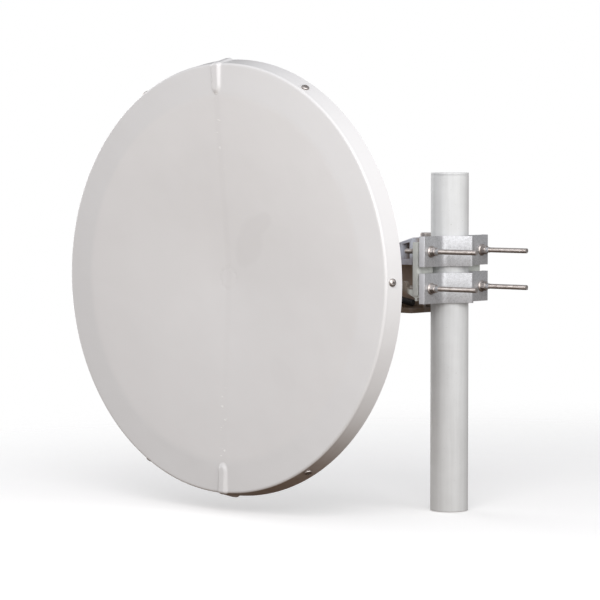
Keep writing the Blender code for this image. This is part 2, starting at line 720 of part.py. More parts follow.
def v_outline(wall, flange, half_width, blunt):
    """Return half of a V block's outline in (distance from the pole's axis, y), y positive.

    The list runs from the inner apex along the inside to the flange and back outside.
    """
    inner, outer = flange
    outer_apex = V_APEX + wall * math.sqrt(2.0)
    return [
        (V_APEX, 0.0),
        (inner, V_APEX - inner),
        (inner, half_width),
        (outer, half_width),
        (outer, outer_apex - outer),
        (blunt, outer_apex - blunt),
    ]


def mirrored(half):
    """Return a closed outline from a half outline that starts on the axis of symmetry."""
    other = [(x, -y) for x, y in reversed(half[1:])]
    return half + other


def hook_outline():
    """Return the X-Z outline of a hooked foot under the saddle's flange."""
    root_x = -SADDLE_FLANGE_X[1] + BOND
    outline = [
        (HOOK_TOE_X, HOOK_SOLE),
        (HOOK_TOE_X, HOOK_TOE_TOP),
        (root_x, HOOK_TOE_TOP),
        (root_x, HOOK_ROOT_Z),
        (HOOK_NECK_X, HOOK_ROOT_Z),
    ]
    outline += arc(HOOK_EYE, HOOK_EYE_RADIUS, HOOK_EYE_ARC[0], HOOK_EYE_ARC[1], ARC_STEPS)
    outline += [(HOOK_TAB_X[0], HOOK_SOLE), (HOOK_TAB_X[0], HOOK_TAB_FOOT)]
    outline += [(HOOK_TAB_X[1], HOOK_TAB_FOOT), (HOOK_TAB_X[1], HOOK_SOLE)]
    return outline


def make_saddle():
    """Make the cast saddle behind the pole, with its neck, pivot barrel and hooked feet."""
    half = v_outline(SADDLE_WALL, SADDLE_FLANGE_X, SADDLE_HALF_WIDTH, SADDLE_BLUNT)
    outline = [(-x, y) for x, y in mirrored(half)]
    saddle = make_object("pole_saddle", prism(outline, SADDLE_Z[0], SADDLE_Z[1]), "cast_aluminium")
    neck = [(PIVOT.x, NECK_Y[0])]
    neck += [(x * MM, y * MM) for x, y in NECK_SPLAY]
    neck += [(PIVOT.x, NECK_Y[1])]
    fuse(saddle, guide("neck", prism(neck, SADDLE_Z[0] + NECK_FOOT_RISE, NECK_TOP)))
    for name, ends in (("front", (-HOOK_Y[1], -HOOK_Y[0])), ("back", HOOK_Y)):
        fuse(saddle, guide("hook_" + name, prism(hook_outline(), ends[0], ends[1], "Y")))
    low, high = BARREL_Z[0] + GAP, BARREL_Z[1] - GAP
    barrel = cylinder(BARREL_RADIUS, low, high, ROUND_SMALL)
    fuse(saddle, guide("barrel", barrel, place=PIVOT))
    middle = (PIVOT.x, PIVOT.y, (low + high) / 2.0)
    cut(saddle, drill("barrel_hole", M12[0] + GAP, high - low, place=middle))
    return saddle


def make_pivot_bolt():
    """Make the vertical bolt of the azimuth pivot, which screws into the yoke's foot."""
    tip, seat = BARREL_Z[0] - YOKE_FOOT + BOND, BARREL_Z[1] + YOKE_TOP + GAP
    make_object("azimuth_pivot_bolt", bolt(M12, tip, seat), "stainless_steel", None, PIVOT)


def stud_shape():
    """Return a clamp stud along Z with its flange nut, the pole's axis at height 0."""
    radius = M8[0]
    half_flats = M8[1] / 2.0
    seat = JAW_FLANGE_X + JAW_WALL + GAP
    nut_low = seat + FLANGE_THICK
    nut_high = nut_low + NUT_HEIGHT
    sections = [
        (0.0, STUD_X[0]),
        (radius - STUD_CHAMFER, STUD_X[0]),
        (radius, STUD_X[0] + STUD_CHAMFER),
        (radius, seat),
        (FLANGE_RADIUS, seat),
        (FLANGE_RADIUS, nut_low),
        (half_flats, nut_low, "hex"),
        (half_flats, nut_high, "hex"),
        (radius, nut_high),
        (radius, STUD_X[1] - STUD_CHAMFER),
        (radius - STUD_CHAMFER, STUD_X[1]),
        (0.0, STUD_X[1]),
    ]
    return turned(sections, ROUND_BOLT)


def make_jaws(saddle):
    """Make the two clamp jaws and their four studs."""
    flange = (JAW_FLANGE_X, JAW_FLANGE_X + JAW_WALL)
    half = v_outline(JAW_WALL, flange, JAW_HALF_WIDTH, JAW_BLUNT)
    lip_end = JAW_FLANGE_X - JAW_LIP
    lip_inner = JAW_HALF_WIDTH - JAW_WALL
    half[2:3] = [(JAW_FLANGE_X, lip_inner), (lip_end, lip_inner), (lip_end, JAW_HALF_WIDTH)]
    number = 0
    for name, side in (("upper", 0.5), ("lower", -0.5)):
        centre = CLAMP_Z + side * JAW_SPACING
        shape = prism(mirrored(half), -JAW_HEIGHT / 2.0, JAW_HEIGHT / 2.0)
        jaw = make_object("clamp_jaw_" + name, shape, "galvanised_steel", None, (0.0, 0.0, centre))
        for stud_y in (-STUD_Y, STUD_Y):
            number += 1
            place = (0.0, stud_y, centre)
            make_object("clamp_stud_%d" % number, stud_shape(), "stainless_steel", None, place, ALONG_X)
            hole = drill("stud_hole_%d" % number, M8[0] + GAP, POLE_RADIUS, None, place, ALONG_X)
            cut(jaw, hole)
            cut(saddle, hole)


def make_pole():
    """Make the pole's length, its top cap and the plug that closes its lower end."""
    inner = POLE_RADIUS - POLE_WALL
    tube = [(POLE_RADIUS, 0.0), (POLE_RADIUS, POLE_HEIGHT), (inner, POLE_HEIGHT), (inner, 0.0)]
    make_object("pole", turned(tube, ROUND_MEDIUM, closed=True), "pole_grey")
    plug = inner - GAP
    make_object("pole_foot_plug", cylinder(plug, 0.0, PLUG_THICK, ROUND_MEDIUM), "pole_grey")
    low = POLE_HEIGHT - CAP_SPIGOT
    sections = [
        (0.0, low),
        (plug, low),
        (plug, POLE_HEIGHT + GAP),
        (POLE_RADIUS, POLE_HEIGHT + GAP),
        (POLE_RADIUS, POLE_HEIGHT + CAP_THICK - CAP_CHAMFER),
        (POLE_RADIUS - CAP_CHAMFER, POLE_HEIGHT + CAP_THICK),
        (0.0, POLE_HEIGHT + CAP_THICK),
    ]
    make_object("pole_top_cap", turned(sections, ROUND_MEDIUM), "pole_grey")


def hang_on(carrier, names):
    """Parent the named pieces and their loose guides to a carrier without moving them."""
    bpy.context.view_layer.update()
    for name in names:
        piece = bpy.data.objects[name]
        guides = [modifier.object for modifier in piece.modifiers]
        for thing in [piece] + guides:
            if thing.parent is None:
                thing.parent = carrier
                thing.matrix_parent_inverse = carrier.matrix_world.inverted()


def main():
    """Build the antenna, its mount and the length of pole."""
    clear_scene()
    moving = make_empty("azimuth_axis", PIVOT)
    dish = make_empty("dish_axis", DISH_CENTRE - PIVOT, (QUARTER_TURN, 0.0, 0.0), moving)
    cover = make_cover(dish)
    reflector = make_reflector(dish)
    make_cover_screws(dish, cover, reflector)
    hub = make_hub(dish)
    make_feed(dish)
    make_hub_bolts(dish, hub, reflector)
    arm = make_arm()
    make_tilt_bolts(arm, hub)
    make_adjuster(arm)
    make_pole()
    saddle = make_saddle()
    make_pivot_bolt()
    make_jaws(saddle)
    hang_on(moving, ("antenna_hub", "swing_arm", "azimuth_screw", "azimuth_screw_cap"))
    hang_on(moving, ("tilt_pivot_bolt", "tilt_lock_bolt_upper", "tilt_lock_bolt_lower"))


if __name__ == "__main__":
    main()
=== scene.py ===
"""Looks of a microwave dish antenna that hangs beside a pole on its cast mount.

Metres, +Z up.  The dish looks along -Y.  Its own frame has Z along the way it looks,
X to the right of someone who faces it, and Y up.
"""

import logging
import math
from collections.abc import Callable, Mapping, Sequence
from dataclasses import dataclass
from enum import Enum
from typing import Any

import bmesh
import bpy
from mathutils import Matrix, Vector


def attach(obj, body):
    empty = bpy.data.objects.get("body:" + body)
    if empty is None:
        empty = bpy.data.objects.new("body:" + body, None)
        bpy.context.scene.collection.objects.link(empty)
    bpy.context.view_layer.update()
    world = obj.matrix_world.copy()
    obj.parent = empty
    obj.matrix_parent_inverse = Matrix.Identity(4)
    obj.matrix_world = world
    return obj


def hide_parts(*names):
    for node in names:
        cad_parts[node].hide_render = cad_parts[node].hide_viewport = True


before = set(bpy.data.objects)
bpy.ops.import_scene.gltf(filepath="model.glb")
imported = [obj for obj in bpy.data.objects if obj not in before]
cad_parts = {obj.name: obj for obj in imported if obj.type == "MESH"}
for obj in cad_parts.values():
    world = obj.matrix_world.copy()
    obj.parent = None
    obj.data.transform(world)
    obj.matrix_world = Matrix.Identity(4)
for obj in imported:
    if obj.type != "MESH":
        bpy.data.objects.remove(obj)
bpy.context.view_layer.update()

log = logging.getLogger("antenna")

Pair = tuple[float, float]
Point = tuple[float, float, float]
Colour = tuple[float, float, float]
Piece = bpy.types.Object

MM = 0.001
FULL_TURN = 2.0 * math.pi
QUARTER_TURN = math.pi / 2.0
ALONG_X: Point = (1.0, 0.0, 0.0)
SEAM = 0.002 * MM                       # points closer than this are one point

DISH_CENTRE = Vector((-257.5, -260.0, 371.0)) * MM      # middle of the rim's front plane
DISH_ROLL = math.radians(0.6)
TAB_ROLL = math.radians(1.2)
DISH_FRAME = Matrix.Translation(DISH_CENTRE) @ Matrix.Rotation(QUARTER_TURN, 4, "X")
PIVOT = Vector((-76.0, 36.0, 0.0)) * MM


class Slot(Enum):
    """The record's material slots."""

    COVER = "cover_white"
    SPUN = "spun_aluminium"
    CAST = "cast_aluminium"
    ZINC = "galvanised_steel"
    POLE = "pole_grey"
    BRIGHT = "stainless_steel"
    BLACK = "black_plastic"
    FEED = "feed_plastic"


class Body(Enum):
    """The two bodies that the pieces ride on."""

    DISH = "antenna"
    MAST = "pole_mount"


# Shader maths


class Reading:
    """One output of a finish's nodes, with arithmetic for those that are numbers."""

    def __init__(self, recipe: "Recipe", socket: bpy.types.NodeSocket) -> None:
        """Keep the output socket and the recipe that owns it."""
        self.recipe = recipe
        self.socket = socket

    def __add__(self, other: "Reading | float") -> "Reading":
        """Return self + other."""
        return self.recipe.math("ADD", self, other)

    def __sub__(self, other: "Reading | float") -> "Reading":
        """Return self - other."""
        return self.recipe.math("SUBTRACT", self, other)

    def __rsub__(self, other: "Reading | float") -> "Reading":
        """Return other - self."""
        return self.recipe.math("SUBTRACT", other, self)

    def __mul__(self, other: "Reading | float") -> "Reading":
        """Return self * other."""
        return self.recipe.math("MULTIPLY", self, other)

    def __truediv__(self, other: "Reading | float") -> "Reading":
        """Return self / other."""
        return self.recipe.math("DIVIDE", self, other)

    def __pow__(self, other: "Reading | float") -> "Reading":
        """Return self to the power of other."""
        return self.recipe.math("POWER", self, other)

    def __neg__(self) -> "Reading":
        """Return the reading with its sign turned."""
        return self.recipe.math("MULTIPLY", self, -1.0)

    __radd__ = __add__
    __rmul__ = __mul__


Value = Reading | float | Colour


class Recipe:
    """The nodes of one material, or of the room's light, written as expressions."""

    def __init__(self, owner: bpy.types.Material | bpy.types.World) -> None:
        """Open the nodes of a material or world."""
        owner.use_nodes = True
        self.owner, self.nodes, self.links = owner, owner.node_tree.nodes, owner.node_tree.links

    @classmethod
    def of_finish(cls, name: str) -> "Recipe":
        """Return the recipe of a new material."""
        return cls(bpy.data.materials.new(name + "_finish"))

    def fill(self, socket: bpy.types.NodeSocket, value: Value) -> None:
        """Give an input socket a link or a constant.

        Args:
            socket: the input socket.
            value: a reading to link, a number, or a colour or vector.
        """
        if isinstance(value, Reading):
            self.links.new(value.socket, socket)
        elif socket.type == "RGBA":
            socket.default_value = (*value, 1.0)
        else:
            socket.default_value = value

    def node(
        self,
        kind: str,
        settings: Mapping[str, Any] | None = None,
        inputs: Mapping[int | str, Value] | None = None,
        output: int = 0,
    ) -> Reading:
        """Add a node.

        Args:
            kind: the node's type.
            settings: its properties, set first.
            inputs: values or readings by socket name or number.
            output: the number of the output that is read.

        Returns:
            The reading of that output.
        """
        node = self.nodes.new(kind)
        for key, value in (settings or {}).items():
            setattr(node, key, value)
        for key, value in (inputs or {}).items():
            self.fill(node.inputs[key], value)
        return Reading(self, node.outputs[output])

    def math(self, operation: str, *values: Value) -> Reading:
        """Return a Math node's reading of the values."""
        return self.node("ShaderNodeMath", {"operation": operation}, dict(enumerate(values)))

    def place(self) -> Reading:
        """Return the point on the piece in Object coordinates."""
        return self.node("ShaderNodeTexCoord", output=3)

    def facing(self) -> tuple[Reading, Reading, Reading]:
        """Return the surface normal's three parts."""
        return self.split(self.node("ShaderNodeNewGeometry", output=1))

    def split(self, vector: Reading) -> tuple[Reading, Reading, Reading]:
        """Return a vector's three parts.

        Args:
            vector: the reading of a vector.

        Returns:
            The readings of its x, y and z.
        """
        first = self.node("ShaderNodeSeparateXYZ", inputs={0: vector})
        outputs = first.socket.node.outputs
        return first, Reading(self, outputs[1]), Reading(self, outputs[2])

    def join(self, x: Value, y: Value, z: Value) -> Reading:
        """Return a vector of three numbers."""
        return self.node("ShaderNodeCombineXYZ", inputs={0: x, 1: y, 2: z})

    def about_dish(self) -> tuple[Reading, Reading, Reading]:
        """Return how far a point is right of the dish's middle, above it and from the axis.

        Returns:
            The readings of the three distances.
        """
        x, _, z = self.split(self.place())
        across, up = x - DISH_CENTRE.x, z - DISH_CENTRE.z
        return across, up, (across * across + up * up) ** 0.5

    def noise(self, vector: Reading, scale: float, detail: float, rough: float = 0.5) -> Reading:
        """Return a noise from 0 to 1 of so many waves a metre, with finer layers of a strength."""
        inputs = {"Vector": vector, "Scale": scale, "Detail": detail, "Roughness": rough}
        return self.node("ShaderNodeTexNoise", inputs=inputs)

    def cells(self, vector: Reading, scale: float) -> Reading:
        """Return a grey of its own for each cell of a random mosaic."""
        inputs = {"Vector": vector, "Scale": scale}
        return self.split(self.node("ShaderNodeTexVoronoi", inputs=inputs, output=1))[0]

    def rise(
        self, value: Reading, low: float, high: float, start: float = 0.0, end: float = 1.0
    ) -> Reading:
        """Return a smooth rise from start, where a value is low or less, to end, from high on."""
        inputs = {0: value, 1: low, 2: high, 3: start, 4: end}
        return self.node("ShaderNodeMapRange", {"interpolation_type": "SMOOTHSTEP"}, inputs)

    def blend(self, first: Value, second: Value, share: Value) -> Reading:
        """Return a mix of two colours, with the second one's share from 0 to 1."""
        return self.node("ShaderNodeMix", {"data_type": "RGBA"}, {0: share, 6: first, 7: second}, 2)

    def bump(self, height: Reading, depth: float, strength: float = 1.0) -> Reading:
        """Return the normal of a surface that is raised by height times depth metres."""
        inputs = {"Strength": strength, "Distance": depth, "Height": height}
        return self.node("ShaderNodeBump", inputs=inputs)

    def finish(self, sockets: Mapping[str, Value]) -> bpy.types.Material:
        """Fill the shader's sockets.

        Args:
            sockets: values or readings by the shader's socket names.

        Returns:
            The finished material.
        """
        for name, value in sockets.items():
            self.fill(self.nodes["Principled BSDF"].inputs[name], value)
        return self.owner


# Finishes


@dataclass(frozen=True)
class MouldedWhite:
    """Glossy white plastic of the dish's cover, with faint clouds and its seam. Worn scratches
    along the seam are painted lighter as glints. Painted shade makes the face darker lower down, on
    the border ring and on the skirt's top, and brown painted shade and reflection lie on the skirt
    below.
    """

    white: Colour = (0.822, 0.809, 0.806)
    cloud: Colour = (0.762, 0.747, 0.744)
    # painted shade: the border outside the crest is a little darker and cooler, standing in for the
    # shading of its slope
    border_shade: Colour = (0.783, 0.776, 0.778)
    # brown of the painted shade and painted reflection of a brown ground on the skirt's underside
    underside_shade_tint: Colour = (0.205, 0.130, 0.088)
    # lighter marks along the seam: worn scratches, painted lighter as glints
    worn_glint: Colour = (0.92, 0.91, 0.90)
    painted_shade: Colour = (0.50, 0.485, 0.475)                  # painted shade on the skirt's highest stretch
    shade_falloff: Pair = (-330.0 * MM, 200.0 * MM)                # heights over which painted shade darkens the face towards the bottom
    crest: float = 290.0 * MM
    crest_blur: float = 6.0 * MM
    skirt: float = 339.4 * MM
    seam_end: float = 300.0 * MM
    seam_width: float = 9.0 * MM
    seam_wander: float = 9.0 * MM
    wear_glint_zone: Pair = (155.0 * MM, 190.0 * MM)              # distances above and below the middle
    gate_radius: float = 17.0 * MM                          # ring left by the mould's gate
    gate_width: float = 6.0 * MM
    clouds: tuple[tuple[float, float, float, float, float], ...] = (
        (50.0, 60.0, 26.0, 42.0, -31.0),
        (76.0, 88.0, 15.0, 24.0, -60.0),
        (128.0, -146.0, 19.0, 36.0, 50.0),
    )                                   # across, up, half width, half height in mm, lean in degrees

    def cloud_mask(self, r: Recipe, across: Reading, up: Reading) -> Reading:
        """Return where the faint darker patches are.

        Args:
            r: the recipe.
            across: place to the right of the dish's middle.
            up: place above it.

        Returns:
            The reading, 1 inside a patch.
        """
        frayed = (r.noise(r.place(), 22.0, 3.0, 0.6) - 0.5) * 1.4
        total: Reading | float = 0.0
        for x, y, half_width, half_height, lean in self.clouds:
            cos, sin = math.cos(math.radians(lean)), math.sin(math.radians(lean))
            dx, dy = across - x * MM, up - y * MM
            along = (dx * cos + dy * sin) / (half_width * MM)
            over = (dy * cos - dx * sin) / (half_height * MM)
            total = total + r.rise(along * along + over * over + frayed, 0.6, 1.5, 1.0, 0.0)
        return r.math("MINIMUM", total, 1.0)

    def seam_mask(self, r: Recipe, across: Reading, up: Reading, radius: Reading) -> Reading:
        """Return where the moulding seam runs between the two tabs.

        Args:
            r: the recipe.
            across: place to the right of the dish's middle.
            up: place above it.
            radius: distance from the middle.

        Returns:
            The reading, 1 on the seam.
        """
        wander = r.noise(r.join(0.0, 0.0, up), 14.0, 3.0) - 0.5
        offset = r.math("ABSOLUTE", across + up * math.tan(TAB_ROLL) + wander * self.seam_wander)
        band = r.rise(offset, 0.3 * self.seam_width, self.seam_width, 1.0, 0.0)
        groove = r.rise(offset, 0.4 * MM, 2.4 * MM, 1.0, 0.0)
        line = band * (0.35 + r.noise(r.join(across, 0.0, up), 30.0, 3.0) * 0.7) + groove * 0.08
        return line * r.rise(radius, self.seam_end - 4.0 * MM, self.seam_end, 1.0, 0.0)

    def make(self) -> bpy.types.Material:
        """Make the material.

        Returns:
            The finished material.
        """
        r = Recipe.of_finish(Slot.COVER.value)
        place = r.place()
        across, up, radius = r.about_dish()
        x, _, z = r.split(place)
        _, _, up_facing = r.facing()

        seam = self.seam_mask(r, across, up, radius)
        # worn scratches along the seam, painted lighter than the white: partly real wear, partly
        # painted highlight
        wear_glint = r.rise(r.noise(r.join(x * 0.5, 0.0, z * 1.3), 150.0, 1.0, 0.5), 0.62, 0.70)
        worn_glint = r.math("MINIMUM", seam * 2.0, 1.0) * wear_glint
        worn_glint = worn_glint * r.rise(r.math("ABSOLUTE", up), *self.wear_glint_zone)
        gate = r.rise(r.math("ABSOLUTE", radius - self.gate_radius), 0.0, self.gate_width, 1.0, 0.0)
        mottle = gate * r.rise(r.noise(place, 230.0, 3.0, 0.6), 0.42, 0.62)
        ring = r.rise(radius, self.crest - self.crest_blur, self.crest + self.crest_blur)
        skirt = r.rise(radius, self.skirt, self.skirt + 2.0 * MM)
        # painted shade and reflection: the skirt's downward-facing stretch is painted brown, with a
        # little noise
        skirt_underside_shade = r.rise(-up_facing, 0.52, 0.975) * skirt
        skirt_underside_shade = skirt_underside_shade * (0.82 + r.noise(place, 60.0, 4.0, 0.6) * 0.4)

        broad = r.noise(place, 5.0, 3.0, 0.55)
        tone = r.blend(self.white, self.cloud, r.rise(broad, 0.35, 0.75) * 0.45)
        tone = r.blend(tone, self.cloud, self.cloud_mask(r, across, up) * 0.45)
        # painted shade: the face is painted darker towards the bottom, in the cloud tone
        tone = r.blend(tone, self.cloud, r.rise(up, *self.shade_falloff, 0.75, 0.0))
        # painted shade on the border ring outside the crest
        tone = r.blend(tone, self.border_shade, ring * 0.9)
        tone = r.blend(tone, self.cloud, r.math("MINIMUM", seam * 0.46 + mottle * 0.5, 1.0))
        tone = r.blend(tone, self.worn_glint, worn_glint)
        # painted shade: the skirt's upward-facing top is painted darker
        tone = r.blend(tone, self.painted_shade, r.rise(up_facing, 0.955, 1.0) * skirt * 0.7)
        tone = r.blend(tone, self.underside_shade_tint, r.math("MINIMUM", skirt_underside_shade, 1.0) * 0.96)
        ripple = r.noise(place, 16.0, 2.0, 0.4) + r.noise(place, 420.0, 2.0, 0.5) * 0.012
        height = ripple * 0.6 - seam * 0.04 - gate * 0.05 - mottle * 0.04 + worn_glint * 0.08
        return r.finish({
            "Base Color": tone,
            "Roughness": 0.325 + r.noise(place, 18.0, 4.0, 0.6) * 0.07 + worn_glint * 0.05 + skirt_underside_shade * 0.15,
            "IOR": 1.48,
            "Coat Weight": 0.25,
            "Coat Roughness": 0.12,
            "Normal": r.bump(height, 2.2 * MM),
        })


@dataclass(frozen=True)
class SpunSheet:
    """Satin aluminium sheet with the fine rings that spinning leaves about the dish's axis."""

    light: Colour = (0.70, 0.70, 0.71)
    dark: Colour = (0.54, 0.54, 0.55)
    rings: float = 1400.0               # a metre
    bands: float = 60.0

    def make(self) -> bpy.types.Material:
        """Make the material.

        Returns:
            The finished material.
        """
        r = Recipe.of_finish(Slot.SPUN.value)
        _, _, radius = r.about_dish()
        groove = r.noise(r.join(radius, 0.0, 0.0), self.rings, 2.0, 0.7)
        band = r.noise(r.join(radius, 0.0, 0.0), self.bands, 2.0, 0.5)
        stain = r.noise(r.place(), 9.0, 4.0, 0.6)
        dull = r.rise(band * 0.6 + stain * 0.4, 0.35, 0.70)
        return r.finish({
            "Base Color": r.blend(self.light, self.dark, dull),
            "Metallic": 0.92,
            "Roughness": 0.30 + groove * 0.14 + stain * 0.12,
            "Normal": r.bump(groove, 0.12 * MM, 0.7),
        })


@dataclass(frozen=True)
class CastSkin:
    """Die-cast aluminium: a grey grained skin, darker and brownish where light doesn't reach."""

    light: Colour = (0.735, 0.760, 0.84)
    dark: Colour = (0.58, 0.57, 0.615)
    # brown of the painted shade on down-facing sides and at the arm's foot, and of a faint random
    # dust
    dust_and_shade: Colour = (0.20, 0.14, 0.095)
    # painted shade deep in the arm's pockets
    painted_shade: Colour = (0.36, 0.25, 0.165)
    arm_front: float = -23.0 * MM       # Y of the arm's ribs, in front of its pockets
    pocket_floor: float = 8.5 * MM      # Y of the pockets' floor
    pocket_top: Pair = (404.0 * MM, 410.0 * MM)
    pocket_left: Pair = (-140.0 * MM, -132.0 * MM)
    foot: Pair = (318.0 * MM, 340.0 * MM)                   # heights where the painted shade at the arm's foot fades

    def make(self) -> bpy.types.Material:
        """Make the material.

        Returns:
            The finished material.
        """
        r = Recipe.of_finish(Slot.CAST.value)
        place = r.place()
        x, y, z = r.split(place)
        _, back_facing, up_facing = r.facing()
        grain = r.noise(place, 900.0, 3.0, 0.6)
        cloud = r.noise(place, 38.0, 4.0, 0.6)
        pits = r.rise(r.noise(place, 520.0, 2.0, 0.5), 0.66, 0.74)
        front, floor = self.arm_front, self.pocket_floor

        # painted shade: the pockets between the ribs are painted darker and brown
        deep = r.rise(y, front + 4.0 * MM, floor - 5.0 * MM)
        deep = deep * r.rise(y, floor, floor + MM, 1.0, 0.0)
        deep = deep * r.rise(back_facing, 0.2, 0.5, 1.0, 0.0) * r.rise(x, *self.pocket_left)
        deep = deep * (1.0 - r.rise(up_facing, 0.3, 0.6) * r.rise(z, *self.pocket_top))
        # painted shade at the arm's foot, behind its ribs
        recess_shade = r.rise(z, *self.foot, 1.0, 0.0) * r.rise(y, front - 2.0 * MM, front)
        # painted shade on down-facing sides, with a faint random cloud of dust
        low = r.rise(-up_facing, 0.1, 0.9) * 0.8 + r.rise(cloud, 0.46, 0.70, 0.0, 0.14)
        low = r.math("MINIMUM", low + recess_shade * (0.8 + cloud * 0.3), 1.0)

        tone = r.blend(self.light, self.dark, r.rise(cloud, 0.35, 0.72))
        tone = r.blend(tone, self.painted_shade, deep * (0.75 + cloud * 0.3))
        return r.finish({
            "Base Color": r.blend(tone, self.dust_and_shade, low),
            "Metallic": 0.35 - low * 0.30,
            "Roughness": 0.46 + cloud * 0.16 + pits * 0.1,
            "Normal": r.bump(grain * 0.7 - pits, 0.10 * MM, 0.8),
        })


@dataclass(frozen=True)
class PaleCast:
    """The saddle's cast aluminium: a pale skin with a slight green tint, with painted shade on its
    hooks behind the pole and darker brown patches on its down-facing sides.
    """

    light: Colour = (0.765, 0.785, 0.735)
    dark: Colour = (0.645, 0.66, 0.63)
    # brown of the painted shade on the hooks and of the darker patches underneath
    dust_and_shade: Colour = (0.22, 0.17, 0.13)
    hook: Pair = (17.0 * MM, 25.0 * MM)                     # behind the pole, where the painted shade starts
    hook_top: Pair = (365.0 * MM, 375.0 * MM)
    ragged: float = 16.0 * MM           # how far that painted shade's upper edge wanders
    toward: Pair = (0.66, -0.75)        # the side that faces the dish

    def make(self) -> bpy.types.Material:
        """Make the material.

        Returns:
            The finished material.
        """
        r = Recipe.of_finish("pale_cast")
        place = r.place()
        x, _, z = r.split(place)
        right_facing, back_facing, up_facing = r.facing()
        cloud = r.noise(place, 45.0, 4.0, 0.6)
        # darker brown patches on down-facing sides
        low = r.rise(-up_facing, 0.2, 0.95) * r.rise(cloud, 0.30, 0.62, 0.4, 0.85)
        # painted shade on the hooks behind the pole, on their side towards the dish
        hooks = r.rise(-x, *self.hook)
        hooks = hooks * r.rise(z + (cloud - 0.5) * self.ragged, *self.hook_top, 1.0, 0.0)
        dish_facing = right_facing * self.toward[0] + back_facing * self.toward[1]
        hooks = hooks * r.rise(dish_facing, -0.25, 0.15)
        tone = r.blend(self.light, self.dark, r.rise(cloud, 0.35, 0.72))
        return r.finish({
            "Base Color": r.blend(tone, self.dust_and_shade, r.math("MAXIMUM", low, hooks * 0.92)),
            "Metallic": 0.10,
            "Roughness": 0.44 + cloud * 0.16,
            "Normal": r.bump(r.noise(place, 800.0, 3.0, 0.6), 0.07 * MM, 0.7),
        })


@dataclass(frozen=True)
class HotDipZinc:
    """Zinc coating with fine speckles and a faint mosaic of crystals."""

    light: Colour = (0.62, 0.625, 0.645)
    dark: Colour = (0.47, 0.475, 0.485)
    speck: Colour = (0.25, 0.25, 0.25)
    # paler tone that the lips' end faces are painted, as painted light
    lit_pale: Colour = (0.84, 0.845, 0.875)
    lip: Pair = (81.4 * MM, 81.8 * MM)  # beyond this Y the lips' end faces are smooth, and painted paler as painted light

    def make(self) -> bpy.types.Material:
        """Make the material.

        Returns:
            The finished material.
        """
        r = Recipe.of_finish(Slot.ZINC.value)
        place = r.place()
        _, y, _ = r.split(place)
        mosaic = r.cells(place, 430.0)
        fine = r.noise(place, 700.0, 3.0, 0.65)
        cloud = r.noise(place, 30.0, 3.0, 0.5)
        specks = r.rise(r.noise(place, 1000.0, 2.0, 0.5), 0.60, 0.70)
        lip = r.rise(r.math("ABSOLUTE", y), *self.lip)
        dull = r.rise(mosaic * 0.25 + fine * 0.7 + cloud * 0.2, 0.40, 0.82)
        tone = r.blend(self.light, self.dark, dull)
        tone = r.blend(tone, self.speck, specks * 0.5)
        return r.finish({
            # painted light: the lips' end faces are painted paler than the rest of the zinc
            "Base Color": r.blend(tone, self.lit_pale, lip * (0.80 + cloud * 0.2)),
            "Metallic": 0.62 - lip * 0.52,
            "Roughness": 0.35 + mosaic * 0.06 + fine * 0.08 + lip * 0.10,
            "Normal": r.bump(fine + mosaic * 0.15, 0.12 * MM, 0.6),
        })


@dataclass(frozen=True)
class BrightSteel:
    """Bright stainless steel with drawing marks, with brown painted shade and reflection on its
    undersides.
    """

    light: Colour = (0.66, 0.615, 0.59)
    dark: Colour = (0.50, 0.45, 0.42)
    # brown of the painted shade and painted reflection of a brown ground on undersides
    brown: Colour = (0.13, 0.09, 0.068)

    def make(self) -> bpy.types.Material:
        """Make the material.

        Returns:
            The finished material.
        """
        r = Recipe.of_finish(Slot.BRIGHT.value)
        place = r.place()
        _, _, up_facing = r.facing()
        marks = r.noise(place, 800.0, 3.0, 0.6)
        # painted shade and reflection: down-facing sides are painted brown
        low = r.rise(-up_facing, -0.1, 0.75)
        tone = r.blend(self.light, self.dark, r.rise(r.noise(place, 120.0, 3.0, 0.5), 0.35, 0.7))
        return r.finish({
            "Base Color": r.blend(tone, self.brown, low * 0.85),
            "Metallic": 1.0,
            "Roughness": 0.33 + marks * 0.10 + low * 0.12,
            "Normal": r.bump(marks, 0.03 * MM, 0.6),
        })


@dataclass(frozen=True)
class PoleCoat:
    """Smooth light grey coat of the pole with faint upright streaks, specks of dust, and painted
    shade that darkens it towards its foot.
    """

    light: Colour = (0.755, 0.765, 0.767)
    dark: Colour = (0.680, 0.688, 0.688)
    speck: Colour = (0.36, 0.34, 0.31)
    # darker tone of the painted shade towards the pole's foot
    dust_and_shade: Colour = (0.47, 0.455, 0.44)
    shaded_up_to: float = 360.0 * MM

    def make(self) -> bpy.types.Material:
        """Make the material.

        Returns:
            The finished material.
        """
        r = Recipe.of_finish(Slot.POLE.value)
        place = r.place()
        x, y, z = r.split(place)
        streak = r.noise(r.join(x, y, z * 0.04), 160.0, 3.0, 0.55)
        cloud = r.noise(place, 22.0, 3.0, 0.5)
        specks = r.rise(r.noise(place, 480.0, 1.0, 0.5), 0.74, 0.78)
        tone = r.blend(self.light, self.dark, r.rise(streak * 0.5 + cloud * 0.5, 0.36, 0.66))
        tone = r.blend(tone, self.speck, specks * 0.5)
        return r.finish({
            # painted shade: the pole is painted darker towards its foot
            "Base Color": r.blend(tone, self.dust_and_shade, r.rise(z, 0.0, self.shaded_up_to, 0.26, 0.0)),
            "Metallic": 0.04,
            "IOR": 1.22,
            "Roughness": 0.42 + cloud * 0.14 + specks * 0.1,
            "Normal": r.bump(streak * 0.3 + r.noise(place, 700.0, 2.0, 0.5) * 0.12, 0.12 * MM, 0.5),
        })


